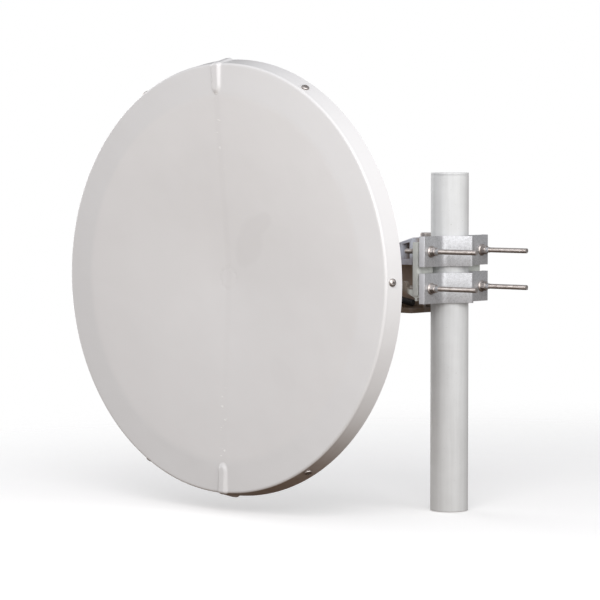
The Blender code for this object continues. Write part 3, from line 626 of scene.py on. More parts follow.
@dataclass(frozen=True)
class MouldedBlack:
    """Satin black plastic, a little dusty on top."""

    black: Colour = (0.012, 0.012, 0.013)
    # dust settled on the top
    dust_and_shade: Colour = (0.075, 0.070, 0.064)

    def make(self) -> bpy.types.Material:
        """Make the material.

        Returns:
            The finished material.
        """
        r = Recipe.of_finish(Slot.BLACK.value)
        _, _, up_facing = r.facing()
        cloud = r.noise(r.place(), 240.0, 3.0, 0.6)
        return r.finish({
            "Base Color": r.blend(self.black, self.dust_and_shade, r.rise(up_facing, 0.2, 1.0) * cloud),
            "Roughness": 0.36 + cloud * 0.2,
            "Normal": r.bump(r.noise(r.place(), 1500.0, 2.0, 0.5), 0.04 * MM, 0.6),
        })


@dataclass(frozen=True)
class FeedWhite:
    """Smooth off-white plastic of the feed's head."""

    light: Colour = (0.86, 0.85, 0.81)
    dark: Colour = (0.78, 0.765, 0.72)

    def make(self) -> bpy.types.Material:
        """Make the material.

        Returns:
            The finished material.
        """
        r = Recipe.of_finish(Slot.FEED.value)
        cloud = r.noise(r.place(), 55.0, 3.0, 0.5)
        return r.finish({
            "Base Color": r.blend(self.light, self.dark, r.rise(cloud, 0.35, 0.7)),
            "Roughness": 0.34 + cloud * 0.14,
            "Normal": r.bump(cloud, 0.10 * MM, 0.5),
        })


class Paints:
    """The finishes by slot, each made once."""

    recipes: dict[Slot, Any] = {
        Slot.COVER: MouldedWhite(),
        Slot.SPUN: SpunSheet(),
        Slot.CAST: CastSkin(),
        Slot.ZINC: HotDipZinc(),
        Slot.POLE: PoleCoat(),
        Slot.BRIGHT: BrightSteel(),
        Slot.BLACK: MouldedBlack(),
        Slot.FEED: FeedWhite(),
    }

    def __init__(self) -> None:
        """Start with no material made."""
        self.made: dict[Slot, bpy.types.Material] = {}

    def get(self, slot: Slot) -> bpy.types.Material:
        """Return the slot's material, made on its first use.

        Args:
            slot: the record's slot.

        Returns:
            The material.
        """
        if slot not in self.made:
            self.made[slot] = self.recipes[slot].make()
        return self.made[slot]

    def dress(
        self,
        piece: Piece,
        name: str,
        slot: Slot,
        body: Body,
        node: str,
        own: bpy.types.Material | None = None,
    ) -> None:
        """Name and paint a new piece and let it ride on a body.

        Args:
            piece: the piece, in its place.
            name: its name.
            slot: its finish.
            body: the body that carries it.
            node: the CAD node that it replaces.
            own: a finish of the piece's own within the slot.
        """
        piece.name = name
        piece.data.materials.clear()
        piece.data.materials.append(own or self.get(slot))
        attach(piece, body.value)
        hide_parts(node)
        log.info("%s: %d faces, %s", piece.name, len(piece.data.polygons), slot.value)

    def dress_ring(
        self,
        model: Piece,
        name: str,
        node: str,
        start: float,
        place: Matrix,
        spins: Sequence[float],
    ) -> None:
        """Copy a fastener round the dish's axis and dress the copies.

        Args:
            model: the fastener, which is used up.
            name: the copies' name, before their numbers.
            node: the name of the CAD nodes that they replace, before their numbers.
            start: the first copy's angle round the axis.
            place: how it stands at angle 0 in the dish's frame.
            spins: each copy's turn about its own axis.
        """
        for index, spin in enumerate(spins):
            turn = Matrix.Rotation(start + FULL_TURN * index / len(spins), 4, "Z")
            copy = another(model, DISH_FRAME @ turn @ place @ Matrix.Rotation(spin, 4, "Z"))
            self.dress(copy, f"{name}_{index + 1}", Slot.BRIGHT, Body.DISH, f"{node}_{index + 1}")
        discard(model)

    def repaint(self, node: str, slot: Slot) -> None:
        """Give a CAD node that stays its finish.

        Args:
            node: the node's name.
            slot: the finish.
        """
        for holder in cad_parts[node].material_slots:
            holder.material = self.get(slot)
        log.info("%s: kept, %s", node, slot.value)


# Modelling by hand


def release() -> None:
    """Leave edit mode and deselect everything."""
    active = bpy.context.view_layer.objects.active
    if active is not None and active.mode != "OBJECT":
        bpy.ops.object.mode_set(mode="OBJECT")
    bpy.ops.object.select_all(action="DESELECT")


def hold(piece: Piece) -> None:
    """Make a piece the active and only selected one.

    Args:
        piece: the piece.
    """
    release()
    piece.select_set(True)
    bpy.context.view_layer.objects.active = piece


def settle() -> None:
    """Apply the active piece's place to its mesh."""
    bpy.ops.object.transform_apply(location=True, rotation=True, scale=True)


def open_up(piece: Piece) -> None:
    """Open a piece in edit mode with all of it selected.

    Args:
        piece: the piece.
    """
    hold(piece)
    bpy.ops.object.mode_set(mode="EDIT")
    bpy.ops.mesh.select_mode(type="VERT")
    bpy.ops.mesh.select_all(action="SELECT")


def pick(piece: Piece, kind: str, wanted: Callable[[Any], bool]) -> None:
    """Open a piece and select only those points or edges that are wanted.

    Args:
        piece: the piece.
        kind: VERT for points or EDGE for edges.
        wanted: says of each whether it is selected.
    """
    open_up(piece)
    bpy.ops.mesh.select_all(action="DESELECT")
    bpy.ops.mesh.select_mode(type=kind)
    mesh = bmesh.from_edit_mesh(piece.data)
    for part in mesh.verts if kind == "VERT" else mesh.edges:
        part.select_set(wanted(part))
    bmesh.update_edit_mesh(piece.data)


def draw_in(share: float, height: float) -> None:
    """Draw the selected points in towards the Z axis at a height, and leave edit mode."""
    bpy.ops.transform.resize(value=(share, share, 1.0), center_override=(0.0, 0.0, height))
    release()


def draw_line(points: Sequence[Point]) -> Piece:
    """Draw an open line of edges and leave it open in edit mode, all selected.

    Args:
        points: the line's corners.

    Returns:
        The piece.
    """
    release()
    bpy.ops.mesh.primitive_plane_add(size=MM, location=points[0])
    piece = bpy.context.object
    settle()
    open_up(piece)
    bpy.ops.mesh.merge(type="CENTER")
    for start, end in zip(points, points[1:]):
        step = Vector(end) - Vector(start)
        bpy.ops.mesh.extrude_vertices_move(TRANSFORM_OT_translate={"value": step})
    bpy.ops.mesh.select_all(action="SELECT")
    return piece


def tidy_faces() -> None:
    """Merge doubles and turn the faces outwards in the mesh that is open."""
    bpy.ops.mesh.select_all(action="SELECT")
    bpy.ops.mesh.remove_doubles(threshold=SEAM)
    bpy.ops.mesh.normals_make_consistent(inside=False)


def lathe(profile: Sequence[Pair], steps: int) -> Piece:
    """Spin a profile about Z.

    Args:
        profile: (radius, height) pairs; a ring's profile ends where it starts.
        steps: faces round the axis.

    Returns:
        The piece, a closed shape about the origin's Z axis.
    """
    piece = draw_line([(radius, 0.0, height) for radius, height in profile])
    bpy.ops.mesh.spin(steps=steps, angle=FULL_TURN, center=(0.0, 0.0, 0.0), axis=(0.0, 0.0, 1.0))
    tidy_faces()
    release()
    return piece


def draw_out(outline: Sequence[Pair], low: float, high: float) -> Piece:
    """Draw a closed outline in the XY plane out along Z.

    Args:
        outline: the outline's corners.
        low: the height of its lower face.
        high: the height of its upper face.

    Returns:
        The piece.
    """
    line = [(x, y, low) for x, y in outline]
    piece = draw_line(line + line[:1])
    bpy.ops.mesh.remove_doubles(threshold=SEAM)
    bpy.ops.mesh.edge_face_add()
    bpy.ops.mesh.extrude_region_move(TRANSFORM_OT_translate={"value": (0.0, 0.0, high - low)})
    tidy_faces()
    release()
    return piece


def put(piece: Piece, place: Matrix) -> Piece:
    """Lay a finished mesh in its place, its object staying at the origin.

    Args:
        piece: the piece, modelled about the origin.
        place: where its own frame goes.

    Returns:
        The piece.
    """
    hold(piece)
    piece.matrix_world = place
    settle()
    return piece


def another(piece: Piece, place: Matrix | None = None) -> Piece:
    """Return a copy of a piece with a mesh of its own.

    Args:
        piece: the piece that is copied.
        place: where the copy's own frame goes, if it is moved.

    Returns:
        The copy.
    """
    copy = piece.copy()
    copy.data = piece.data.copy()
    bpy.context.scene.collection.objects.link(copy)
    return put(copy, place) if place is not None else copy


def discard(piece: Piece) -> None:
    """Remove a model that was only copied or cut with."""
    bpy.data.objects.remove(piece, do_unlink=True)


def apply_modifier(piece: Piece, kind: str, **settings: Any) -> Piece:
    """Add a modifier and apply it.

    Args:
        piece: the piece.
        kind: the modifier's type.
        settings: its properties.

    Returns:
        The piece.
    """
    hold(piece)
    modifier = piece.modifiers.new(kind.lower(), kind)
    for key, value in settings.items():
        setattr(modifier, key, value)
    bpy.ops.object.modifier_apply(modifier=modifier.name)
    return piece


def soften(piece: Piece, width: float, segments: int, over: float) -> Piece:
    """Round the edges that turn more than over degrees, and return the piece."""
    limits = {"limit_method": "ANGLE", "angle_limit": math.radians(over)}
    return apply_modifier(piece, "BEVEL", width=width, segments=segments, **limits)


def carve(piece: Piece, tool: Piece, operation: str = "DIFFERENCE") -> Piece:
    """Cut a piece with a tool, which is used up.

    Args:
        piece: the piece.
        tool: the shape that cuts, or that stays in common or is added.
        operation: the Boolean's operation.

    Returns:
        The piece.
    """
    apply_modifier(piece, "BOOLEAN", operation=operation, solver="EXACT", object=tool)
    discard(tool)
    return piece


def smooth(piece: Piece) -> Piece:
    """Shade a piece smooth, except over its sharp edges.

    Args:
        piece: the piece.

    Returns:
        The piece.
    """
    hold(piece)
    bpy.ops.object.shade_smooth_by_angle(angle=math.radians(32.0))
    return piece


def combine(pieces: Sequence[Piece]) -> Piece:
    """Join several shapes into one piece.

    Args:
        pieces: the shapes, the first of which takes in the others.

    Returns:
        The joined piece.
    """
    hold(pieces[0])
    for piece in pieces[1:]:
        piece.select_set(True)
    bpy.ops.object.join()
    return pieces[0]


def aim(point: Sequence[float], spin: float = 0.0, axis: Sequence[float] = ALONG_X) -> Matrix:
    """Return the place at a point whose Z points along an axis, turned about it by spin."""
    turn = Vector(axis).to_track_quat("Z", "Y").to_matrix().to_4x4()
    return Matrix.Translation(point) @ turn @ Matrix.Rotation(spin, 4, "Z")


def limit(value: float) -> float:
    """Return a value, but not less than 0 or more than 1."""
    return min(max(value, 0.0), 1.0)


def arc(centre: Pair, radius: float, start: float, end: float, steps: int) -> list[Pair]:
    """Return the points that part an arc into steps, both its ends included."""
    angles = [start + (end - start) * step / steps for step in range(steps + 1)]
    return [(centre[0] + radius * math.cos(a), centre[1] + radius * math.sin(a)) for a in angles]


def rounded(corners: Sequence[tuple[Pair, float]], steps: int) -> list[Pair]:
    """Return a closed outline with its corners rounded.

    Args:
        corners: the outline's sharp corners, each with its rounding's radius.
        steps: the stretches of each rounding.

    Returns:
        The rounded outline.
    """
    outline: list[Pair] = []
    for index, (corner, radius) in enumerate(corners):
        here = Vector(corner)
        before = (Vector(corners[index - 1][0]) - here).normalized()
        after = (Vector(corners[(index + 1) % len(corners)][0]) - here).normalized()
        half = before.angle(after) / 2.0
        reach = radius / math.tan(half)
        centre = here + (before + after).normalized() * (radius / math.sin(half))
        first, last = here + before * reach - centre, here + after * reach - centre
        sweep = first.angle_signed(last)
        for step in range(steps + 1):
            turned = first.copy()
            turned.rotate(Matrix.Rotation(-sweep * step / steps, 2))
            outline.append(tuple(centre + turned))
    return outline


def fine_copy(node: str, width: float) -> Piece:
    """Return a copy of a CAD node with rounded edges, for castings.

    Args:
        node: the CAD node.
        width: the width of the rounding.

    Returns:
        The copy, in its place.
    """
    copy = another(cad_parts[node])
    copy.parent = None
    for key in list(copy.keys()):
        del copy[key]
    open_up(copy)
    bpy.ops.mesh.remove_doubles(threshold=SEAM)
    bpy.ops.mesh.dissolve_limited(angle_limit=math.radians(1.0))
    release()
    return smooth(soften(copy, width, 3, 28.0))


# Fasteners


@dataclass(frozen=True)
class Hardware:
    """Sizes of one bolt size and the shapes made from them, along Z with the seat at height 0."""

    shank: float                        # radius
    flats: float                        # width across the flats
    head: float                         # height of a head or nut
    pitch: float
    depth: float                        # of the thread
    turn_steps: int = 20
    end_share: float = 0.80             # how far a thread's end faces are drawn in

    def hexagon(self, low: float, high: float, both_ends: bool = False) -> Piece:
        """Model a hexagon with its corners turned off.

        Args:
            low: the height of its lower face.
            high: the height of its upper face.
            both_ends: whether the lower corners are turned off too.

        Returns:
            The hexagon.
        """
        corner, flat = self.flats / math.sqrt(3.0), 0.47 * self.flats
        release()
        bpy.ops.mesh.primitive_cylinder_add(
            vertices=6, radius=corner, depth=high - low, location=(0.0, 0.0, (low + high) / 2.0)
        )
        piece = bpy.context.object
        settle()
        wide, spare = 1.2 * corner, 0.2 * corner
        fall = (wide - flat) * math.tan(math.radians(30.0))
        profile = [(0.0, high), (flat, high), (wide, high - fall)]
        if both_ends:
            profile += [(wide, low + fall), (flat, low), (0.0, low)]
        else:
            profile += [(wide, low - spare), (0.0, low - spare)]
        return soften(carve(piece, lathe(profile, 48), "INTERSECT"), 0.25 * MM, 2, 20.0)

    def washer(self, low: float) -> Piece:
        """Model a flat washer with rounded rims.

        Args:
            low: the height of its lower face.

        Returns:
            The washer.
        """
        bore, radius, high = self.shank + 0.2 * MM, WASHER_SHARE * self.flats, low + WASHER_THICK
        profile = [(bore, low), (radius, low), (radius, high), (bore, high), (bore, low)]
        return smooth(soften(lathe(profile, 48), 0.3 * MM, 2, 35.0))

    def thread(self, low: float, high: float) -> Piece:
        """Model a threaded rod with chamfered ends.

        Args:
            low: the height of its lower end.
            high: the height of its upper end.

        Returns:
            The rod, closed.
        """
        root, crest, start = self.shank - self.depth, self.shank, low - self.pitch
        shares = ((root, 0.0), (crest, 0.42), (crest, 0.58), (root, 1.0))
        piece = draw_line([(radius, 0.0, start + share * self.pitch) for radius, share in shares])
        release()
        apply_modifier(
            piece,
            "SCREW",
            axis="Z",
            angle=FULL_TURN,
            screw_offset=self.pitch,
            iterations=math.ceil((high - low) / self.pitch) + 2,
            steps=self.turn_steps,
            render_steps=self.turn_steps,
            use_merge_vertices=True,
            merge_threshold=SEAM,
        )
        open_up(piece)
        bpy.ops.mesh.remove_doubles(threshold=SEAM)
        for height, cleared in ((low, "clear_inner"), (high, "clear_outer")):
            plane = {"plane_co": (0.0, 0.0, height), "plane_no": (0.0, 0.0, 1.0)}
            bpy.ops.mesh.select_all(action="SELECT")
            bpy.ops.mesh.bisect(**plane, use_fill=True, **{cleared: True})
        tidy_faces()
        for height in (low, high):
            pick(piece, "VERT", lambda point: abs(point.co.z - height) < SEAM)
            draw_in(self.end_share, height)
        return piece

    def bolt(self, tip: float, thread_top: float) -> Piece:
        """Model a hexagon bolt whose head sits on height 0.

        Args:
            tip: the height of its end, below 0.
            thread_top: where the thread ends under the head.

        Returns:
            The bolt.
        """
        parts = [self.hexagon(0.0, self.head), self.thread(tip, thread_top + 0.5 * MM)]
        profile = [
            (0.0, thread_top),
            (self.shank - self.depth, thread_top),
            (self.shank, thread_top + self.depth),
            (self.shank, 0.5 * MM),
            (0.0, 0.5 * MM),
        ]
        return smooth(combine(parts + [lathe(profile, 32)]))

    def nut(self, low: float, high: float) -> Piece:
        """Model a plain nut with a countersunk bore between two heights."""
        return smooth(carve(self.hexagon(low, high, both_ends=True), self.bore(low, high)))

    def bore(self, low: float, high: float) -> Piece:
        """Model the tool that cuts a nut's bore with its two countersinks.

        Args:
            low: the height of the nut's lower face.
            high: the height of its upper face.

        Returns:
            The tool.
        """
        narrow, wide, deep = self.shank - 0.2 * MM, self.shank + 1.3 * MM, 0.75 * MM
        profile = [
            (0.0, low - deep),
            (wide, low - deep),
            (narrow, low + deep),
            (narrow, high - deep),
            (wide, high + deep),
            (0.0, high + deep),
        ]
        return lathe(profile, 32)

    def flange_nut(self, seat: float, flange: float, thick: float, height: float) -> Piece:
        """Model a nut with a flange under it.

        Args:
            seat: the height that the flange sits on.
            flange: the flange's radius.
            thick: the flange's thickness.
            height: the hexagon's height over the flange.

        Returns:
            The nut.
        """
        high = seat + thick + height
        profile = [
            (0.0, seat),
            (flange - 0.5 * MM, seat),
            (flange, seat + 0.35 * MM),
            (flange, seat + 0.9 * MM),
            (flange - 0.7 * MM, seat + 1.35 * MM),
            (self.flats / 2.0 - 0.5 * MM, seat + thick + 0.3 * MM),
            (0.0, seat + thick + 0.3 * MM),
        ]
        piece = carve(self.hexagon(seat + 0.3 * thick, high), lathe(profile, 48), "UNION")
        return smooth(carve(piece, self.bore(seat, high)))


M8 = Hardware(4.0 * MM, 13.0 * MM, 6.5 * MM, 1.25 * MM, 0.62 * MM)
M10 = Hardware(5.0 * MM, 16.0 * MM, 6.4 * MM, 1.5 * MM, 0.75 * MM)
M12 = Hardware(6.0 * MM, 18.0 * MM, 7.5 * MM, 1.75 * MM, 0.85 * MM)
SEAT_GAP = 0.3 * MM                     # clearance between pieces that touch
WASHER_THICK = 1.5 * MM
WASHER_SHARE = 0.62                     # a washer's radius, of the width across flats
STICK_OUT = 5.0 * MM                    # thread beyond a nut


# The dish


@dataclass
class Cover:
    """The white front cover, its two raised tabs and the screws through its skirt."""

    paints: Paints
    front_radius: float = 341.5 * MM
    back_radius: float = 347.5 * MM
    depth: float = 31.0 * MM
    wall: float = 3.0 * MM
    edge_round: float = 4.5 * MM
    crest_radius: float = 290.0 * MM
    crest_rise: float = 1.6 * MM
    crest_softness: float = 0.6 * MM
    middle_depth: float = 20.0 * MM
    middle_softness: float = 40.0 * MM
    cone_share: float = 0.7             # the rest flattens out towards the crest
    middle_radii: tuple[float, ...] = (
        0.0, 8.0, 16.0, 26.0, 38.0, 52.0, 68.0, 88.0,
        110.0, 135.0, 160.0, 185.0, 210.0, 230.0, 248.0,
    )                                   # of the profile's points in the middle, in mm
    fine_start: float = 262.0 * MM      # from here out they lie close together
    tab_half: float = 10.4 * MM
    tab_taper: float = 0.032            # how fast the half width grows outwards
    tab_aside: float = 6.6 * MM         # the upper tab to the left, the lower one to the right
    tab_lean: float = 0.04              # to the left, outwards
    tab_end: float = 0.68               # how blunt the tabs' inner ends are
    tab_inner: float = 290.5 * MM
    tab_level: float = 4.6 * MM         # of the tabs' tops over the rim plane
    tab_proud: float = 3.5 * MM         # over the skirt's back edge
    tab_crown: float = 4.2 * MM         # half width of the tabs' flat tops
    steps: int = 360
    screw_spins: tuple[float, ...] = (24.0, 71.0, 8.0, 55.0, 33.0, 80.0)    # degrees
    screw_depth: float = 12.0 * MM
    screw_radius: float = 2.8 * MM
    screw_reach: float = 9.0 * MM
    head_radius: float = 6.2 * MM
    head_height: float = 3.3 * MM

    @property
    def flat_end(self) -> float:
        """Return the radius where the rim's rounding starts."""
        return self.front_radius - self.edge_round

    def soft(self, reach: float) -> float:
        """Return a distance whose start is rounded off."""
        return math.hypot(reach, self.middle_softness) - self.middle_softness

    def face(self, radius: float) -> float:
        """Return the height of the cover's face over the rim plane.

        Args:
            radius: distance from the axis, up to where the rim's rounding starts.

        Returns:
            The height, with the crest rounded off.
        """
        rise = self.middle_depth + self.crest_rise
        reach = self.soft(radius) / self.soft(self.crest_radius)
        curve = reach * (2.0 - reach) if reach < 1.0 else 1.0
        inner = rise * (self.cone_share * reach + (1.0 - self.cone_share) * curve)
        inner -= self.middle_depth
        outer = self.crest_rise * (self.flat_end - radius) / (self.flat_end - self.crest_radius)
        near = max(self.crest_softness - abs(inner - outer), 0.0) / self.crest_softness
        return min(inner, outer) - near * near * self.crest_softness / 4.0

    def skirt(self, depth: float) -> float:
        """Return the skirt's outer radius at a depth behind the rim plane."""
        share = (depth - self.edge_round) / (self.depth - self.edge_round)
        return self.front_radius + share * (self.back_radius - self.front_radius)

    def profile(self, offset: float, stride: int) -> list[Pair]:
        """Return the cover's profile from its middle to its back edge.

        Args:
            offset: how far it is moved outwards.
            stride: how many steps of the finest spacing are taken at once.

        Returns:
            The profile's points.
        """
        count, turns = 40 // stride, 8 // stride
        span = self.flat_end - self.fine_start
        radii = [radius * MM for radius in self.middle_radii]
        radii += [self.fine_start + span * step / count for step in range(count)]
        points = [(radius, self.face(radius) + offset) for radius in radii]
        centre = (self.flat_end, -self.edge_round)
        points += arc(centre, self.edge_round + offset, QUARTER_TURN, 0.0, turns)
        for step in range(1, turns + 1):
            depth = self.edge_round + (self.depth - self.edge_round - MM) * step / turns
            points.append((self.skirt(depth) + offset, -depth))
        return points

    def is_outer(self, point: Vector) -> bool:
        """Say on which side of the shell's wall a point lies.

        Args:
            point: the point in the dish's frame.

        Returns:
            Whether it lies on the outer side.
        """
        radius, within = math.hypot(point.x, point.y), 0.5 * self.wall
        if point.z <= -self.edge_round:
            return radius > self.skirt(-point.z) - within and -point.z < self.depth - 0.3 * MM
        if radius < self.flat_end:
            return point.z > self.face(radius) - within
        corner = math.hypot(radius - self.flat_end, point.z + self.edge_round)
        return corner > self.edge_round - within

    def tab_share(self, point: Vector) -> float:
        """Return how much a point of the outer face belongs to a tab.

        Args:
            point: the point in the dish's frame.

        Returns:
            The share of the tabs' full height, 1 on their tops.
        """
        outwards = abs(point.y) - self.tab_inner
        across = point.x + math.copysign(self.tab_aside, point.y) + self.tab_lean * outwards
        half = self.tab_half + self.tab_taper * outwards
        short = max(half / self.tab_end - outwards, 0.0) * self.tab_end
        share = limit((math.hypot(across, short) - self.tab_crown) / (half - self.tab_crown))
        back = limit((self.depth + point.z - 0.6 * MM) / (1.6 * MM))
        return (1.0 - share * share * (3.0 - 2.0 * share)) * back

    def tab_move(self, point: Vector) -> Pair:
        """Return how far the tabs raise a point forwards and outwards.

        Args:
            point: the point in the dish's frame.

        Returns:
            The move along the dish's axis and the move away from it.
        """
        share = self.tab_share(point)
        radius = math.hypot(point.x, point.y)
        if radius < self.flat_end:
            return share * (self.tab_level - self.face(radius)), 0.0
        turn = limit((point.z + self.edge_round) / self.edge_round)
        proud = self.tab_proud * (0.55 + 0.45 * limit(-point.z / self.depth))
        return share * self.tab_level * turn, share * proud * math.sqrt(1.0 - turn * turn)

    def raise_tabs(self, cover: Piece) -> None:
        """Refine the cover where the tabs are and raise them out of it.

        Args:
            cover: the turned cover, about its own axis.
        """
        reach = self.tab_half + self.tab_aside + 11.0 * MM
        inner_limit = self.tab_inner - 6.0 * MM

        def near(point: Vector) -> bool:
            """Return whether a point lies on the outer side near a tab."""
            return abs(point.x) < reach and abs(point.y) > inner_limit and self.is_outer(point)

        pick(cover, "EDGE", lambda edge: all(near(end.co) for end in edge.verts))
        bpy.ops.mesh.subdivide(number_cuts=5)
        release()
        largest = 10.0 * MM
        ways = {"forwards": ("Z", largest), "upwards": ("Y", largest), "downwards": ("Y", -largest)}
        groups = {name: cover.vertex_groups.new(name=name) for name in ways}
        for vertex in cover.data.vertices:
            if near(vertex.co):
                forwards, outwards = self.tab_move(vertex.co)
                side = "upwards" if vertex.co.y > 0.0 else "downwards"
                for name, move in (("forwards", forwards), (side, outwards)):
                    if move > 0.0:
                        groups[name].add([vertex.index], move / largest, "REPLACE")
        for name, (axis, most) in ways.items():
            apply_modifier(
                cover, "DISPLACE", direction=axis, strength=most, mid_level=0.0, vertex_group=name
            )
        cover.vertex_groups.clear()

    def build_shell(self) -> Piece:
        """Model the cover as one turned shell with its tabs.

        Returns:
            The cover, in its place.
        """
        back = -self.depth
        end, start = self.back_radius, self.back_radius - self.wall
        lip = [
            (end - 0.1 * MM, back + 0.5 * MM),
            (end - 0.6 * MM, back),
            (start + 0.6 * MM, back),
            (start, back + 0.5 * MM),
        ]
        cover = lathe(self.profile(0.0, 1) + lip + self.profile(-self.wall, 2)[::-1], self.steps)
        self.raise_tabs(cover)
        return put(smooth(cover), DISH_FRAME)

    def build_screw(self) -> Piece:
        """Model one domed screw with its cross recess, head up.

        Returns:
            The screw, its seat at height 0.
        """
        radius, top = self.head_radius, SEAT_GAP + self.head_height
        profile = [
            (0.0, -self.screw_reach),
            (self.screw_radius - 0.6 * MM, -self.screw_reach),
            (self.screw_radius, -self.screw_reach + 0.6 * MM),
            (self.screw_radius, SEAT_GAP),
            (radius - 0.3 * MM, SEAT_GAP),
            (radius, SEAT_GAP + 0.3 * MM),
        ]
        dome = ((1.0, 0.30), (0.985, 0.48), (0.92, 0.68), (0.80, 0.84), (0.62, 0.94), (0.35, 0.99))
        profile += [(across * radius, SEAT_GAP + up * self.head_height) for across, up in dome]
        return smooth(carve(lathe(profile + [(0.0, top)], 40), self.build_recess(top)))

    def build_recess(self, top: float) -> Piece:
        """Model the tool that cuts the cross recess.

        Args:
            top: the height of the head's top.

        Returns:
            The tool, a plus that narrows downwards.
        """
        arm, half, deep = 3.3 * MM, 0.62 * MM, 2.8 * MM
        plus = [
            (half, half), (half, arm), (-half, arm), (-half, half), (-arm, half), (-arm, -half),
            (-half, -half), (-half, -arm), (half, -arm), (half, -half), (arm, -half), (arm, half),
        ]
        tool = draw_out(plus, top - deep, top + MM)
        pick(tool, "VERT", lambda point: point.co.z < top - 0.5 * deep)
        draw_in(0.45, 0.0)
        return tool

    def build(self) -> None:
        """Build the cover and its screws."""
        self.paints.dress(self.build_shell(), "cover_shell", Slot.COVER, Body.DISH, "radome")
        slope = math.atan2(self.back_radius - self.front_radius, self.depth - self.edge_round)
        place = Matrix.Translation((self.skirt(self.screw_depth), 0.0, -self.screw_depth))
        place = place @ Matrix.Rotation(QUARTER_TURN - slope, 4, "Y")
        spins = [math.radians(spin) for spin in self.screw_spins]
        screw = self.build_screw()
        self.paints.dress_ring(screw, "skirt_screw", "radome_screw", DISH_ROLL, place, spins)


@dataclass
class Bowl:
    """The spun reflector, the cast hub behind it, its bolts and the feed."""

    paints: Paints
    radius: float = 330.0 * MM
    rim_depth: float = 10.0 * MM
    bowl_depth: float = 190.0 * MM
    flat_radius: float = 60.0 * MM
    sheet: float = 2.2 * MM
    flange_end: float = 29.0 * MM
    flange_inset: float = 4.0 * MM      # behind the cover's outer face
    bore: float = 14.3 * MM
    hub_thick: float = 16.0 * MM
    bolt_circle: float = 78.0 * MM
    bolt_count: int = 6
    bolt_stick_out: float = 4.0 * MM
    face_steps: int = 30
    steps: int = 192

    def depth(self, radius: float) -> float:
        """Return the reflecting face's depth behind the rim plane."""
        reach = max(radius, self.flat_radius) / self.radius
        return self.rim_depth + self.bowl_depth * (1.0 - reach * reach)

    def build_reflector(self, cover: Cover) -> Piece:
        """Model the reflector with its turned-back rim.

        Args:
            cover: the cover that its rim sits in.

        Returns:
            The reflector, in its place.
        """
        span, count = self.radius - self.flat_radius, self.face_steps
        radii = [self.flat_radius + span * step / count for step in range(count + 1)]
        front = [(radius, -self.depth(radius)) for radius in radii]
        back = [(radius, height - self.sheet) for radius, height in front]
        rim, under = -self.rim_depth, -self.rim_depth - self.sheet
        rim_top = cover.skirt(self.rim_depth) - self.flange_inset
        rim_end = cover.skirt(self.flange_end) - self.flange_inset
        ring = [(self.bore, front[0][1]), (self.bore, back[0][1])] + back[:-1]
        ring += [
            (self.radius, rim - 1.5 * self.sheet),
            (rim_top - self.sheet - MM, under),
            (rim_top - self.sheet, under - MM),
            (rim_end - self.sheet, -self.flange_end),
            (rim_end, -self.flange_end),
            (rim_top, rim - 1.5 * MM),
            (rim_top - 0.5 * MM, rim - 0.5 * MM),
            (rim_top - 1.5 * MM, rim),
        ]
        return put(smooth(lathe(ring + front[::-1] + ring[:1], self.steps)), DISH_FRAME)

    def build(self, cover: Cover) -> None:
        """Build the reflector and what it carries.

        Args:
            cover: the cover that its rim sits in.
        """
        dress = self.paints.dress
        dress(self.build_reflector(cover), "spun_reflector", Slot.SPUN, Body.DISH, "reflector")
        dress(fine_copy("antenna_hub", 1.2 * MM), "cast_hub", Slot.CAST, Body.DISH, "antenna_hub")
        dress(fine_copy("port_cover", 1.0 * MM), "port_plate", Slot.CAST, Body.DISH, "port_cover")
        hub_back = -(self.depth(0.0) + self.sheet + SEAT_GAP) - self.hub_thick
        bolt = M8.bolt(self.depth(self.bolt_circle) + hub_back - self.bolt_stick_out, -6.0 * MM)
        place = Matrix.Translation((self.bolt_circle, 0.0, hub_back - SEAT_GAP))
        place = place @ Matrix.Rotation(math.pi, 4, "X")
        start = QUARTER_TURN + 0.5 * FULL_TURN / self.bolt_count
        spins = [0.7 * index for index in range(self.bolt_count)]
        self.paints.dress_ring(bolt, "hub_ring_bolt", "hub_bolt", start, place, spins)
        self.paints.repaint("feed_tube", Slot.SPUN)
        self.paints.repaint("feed_head", Slot.FEED)


# The mount


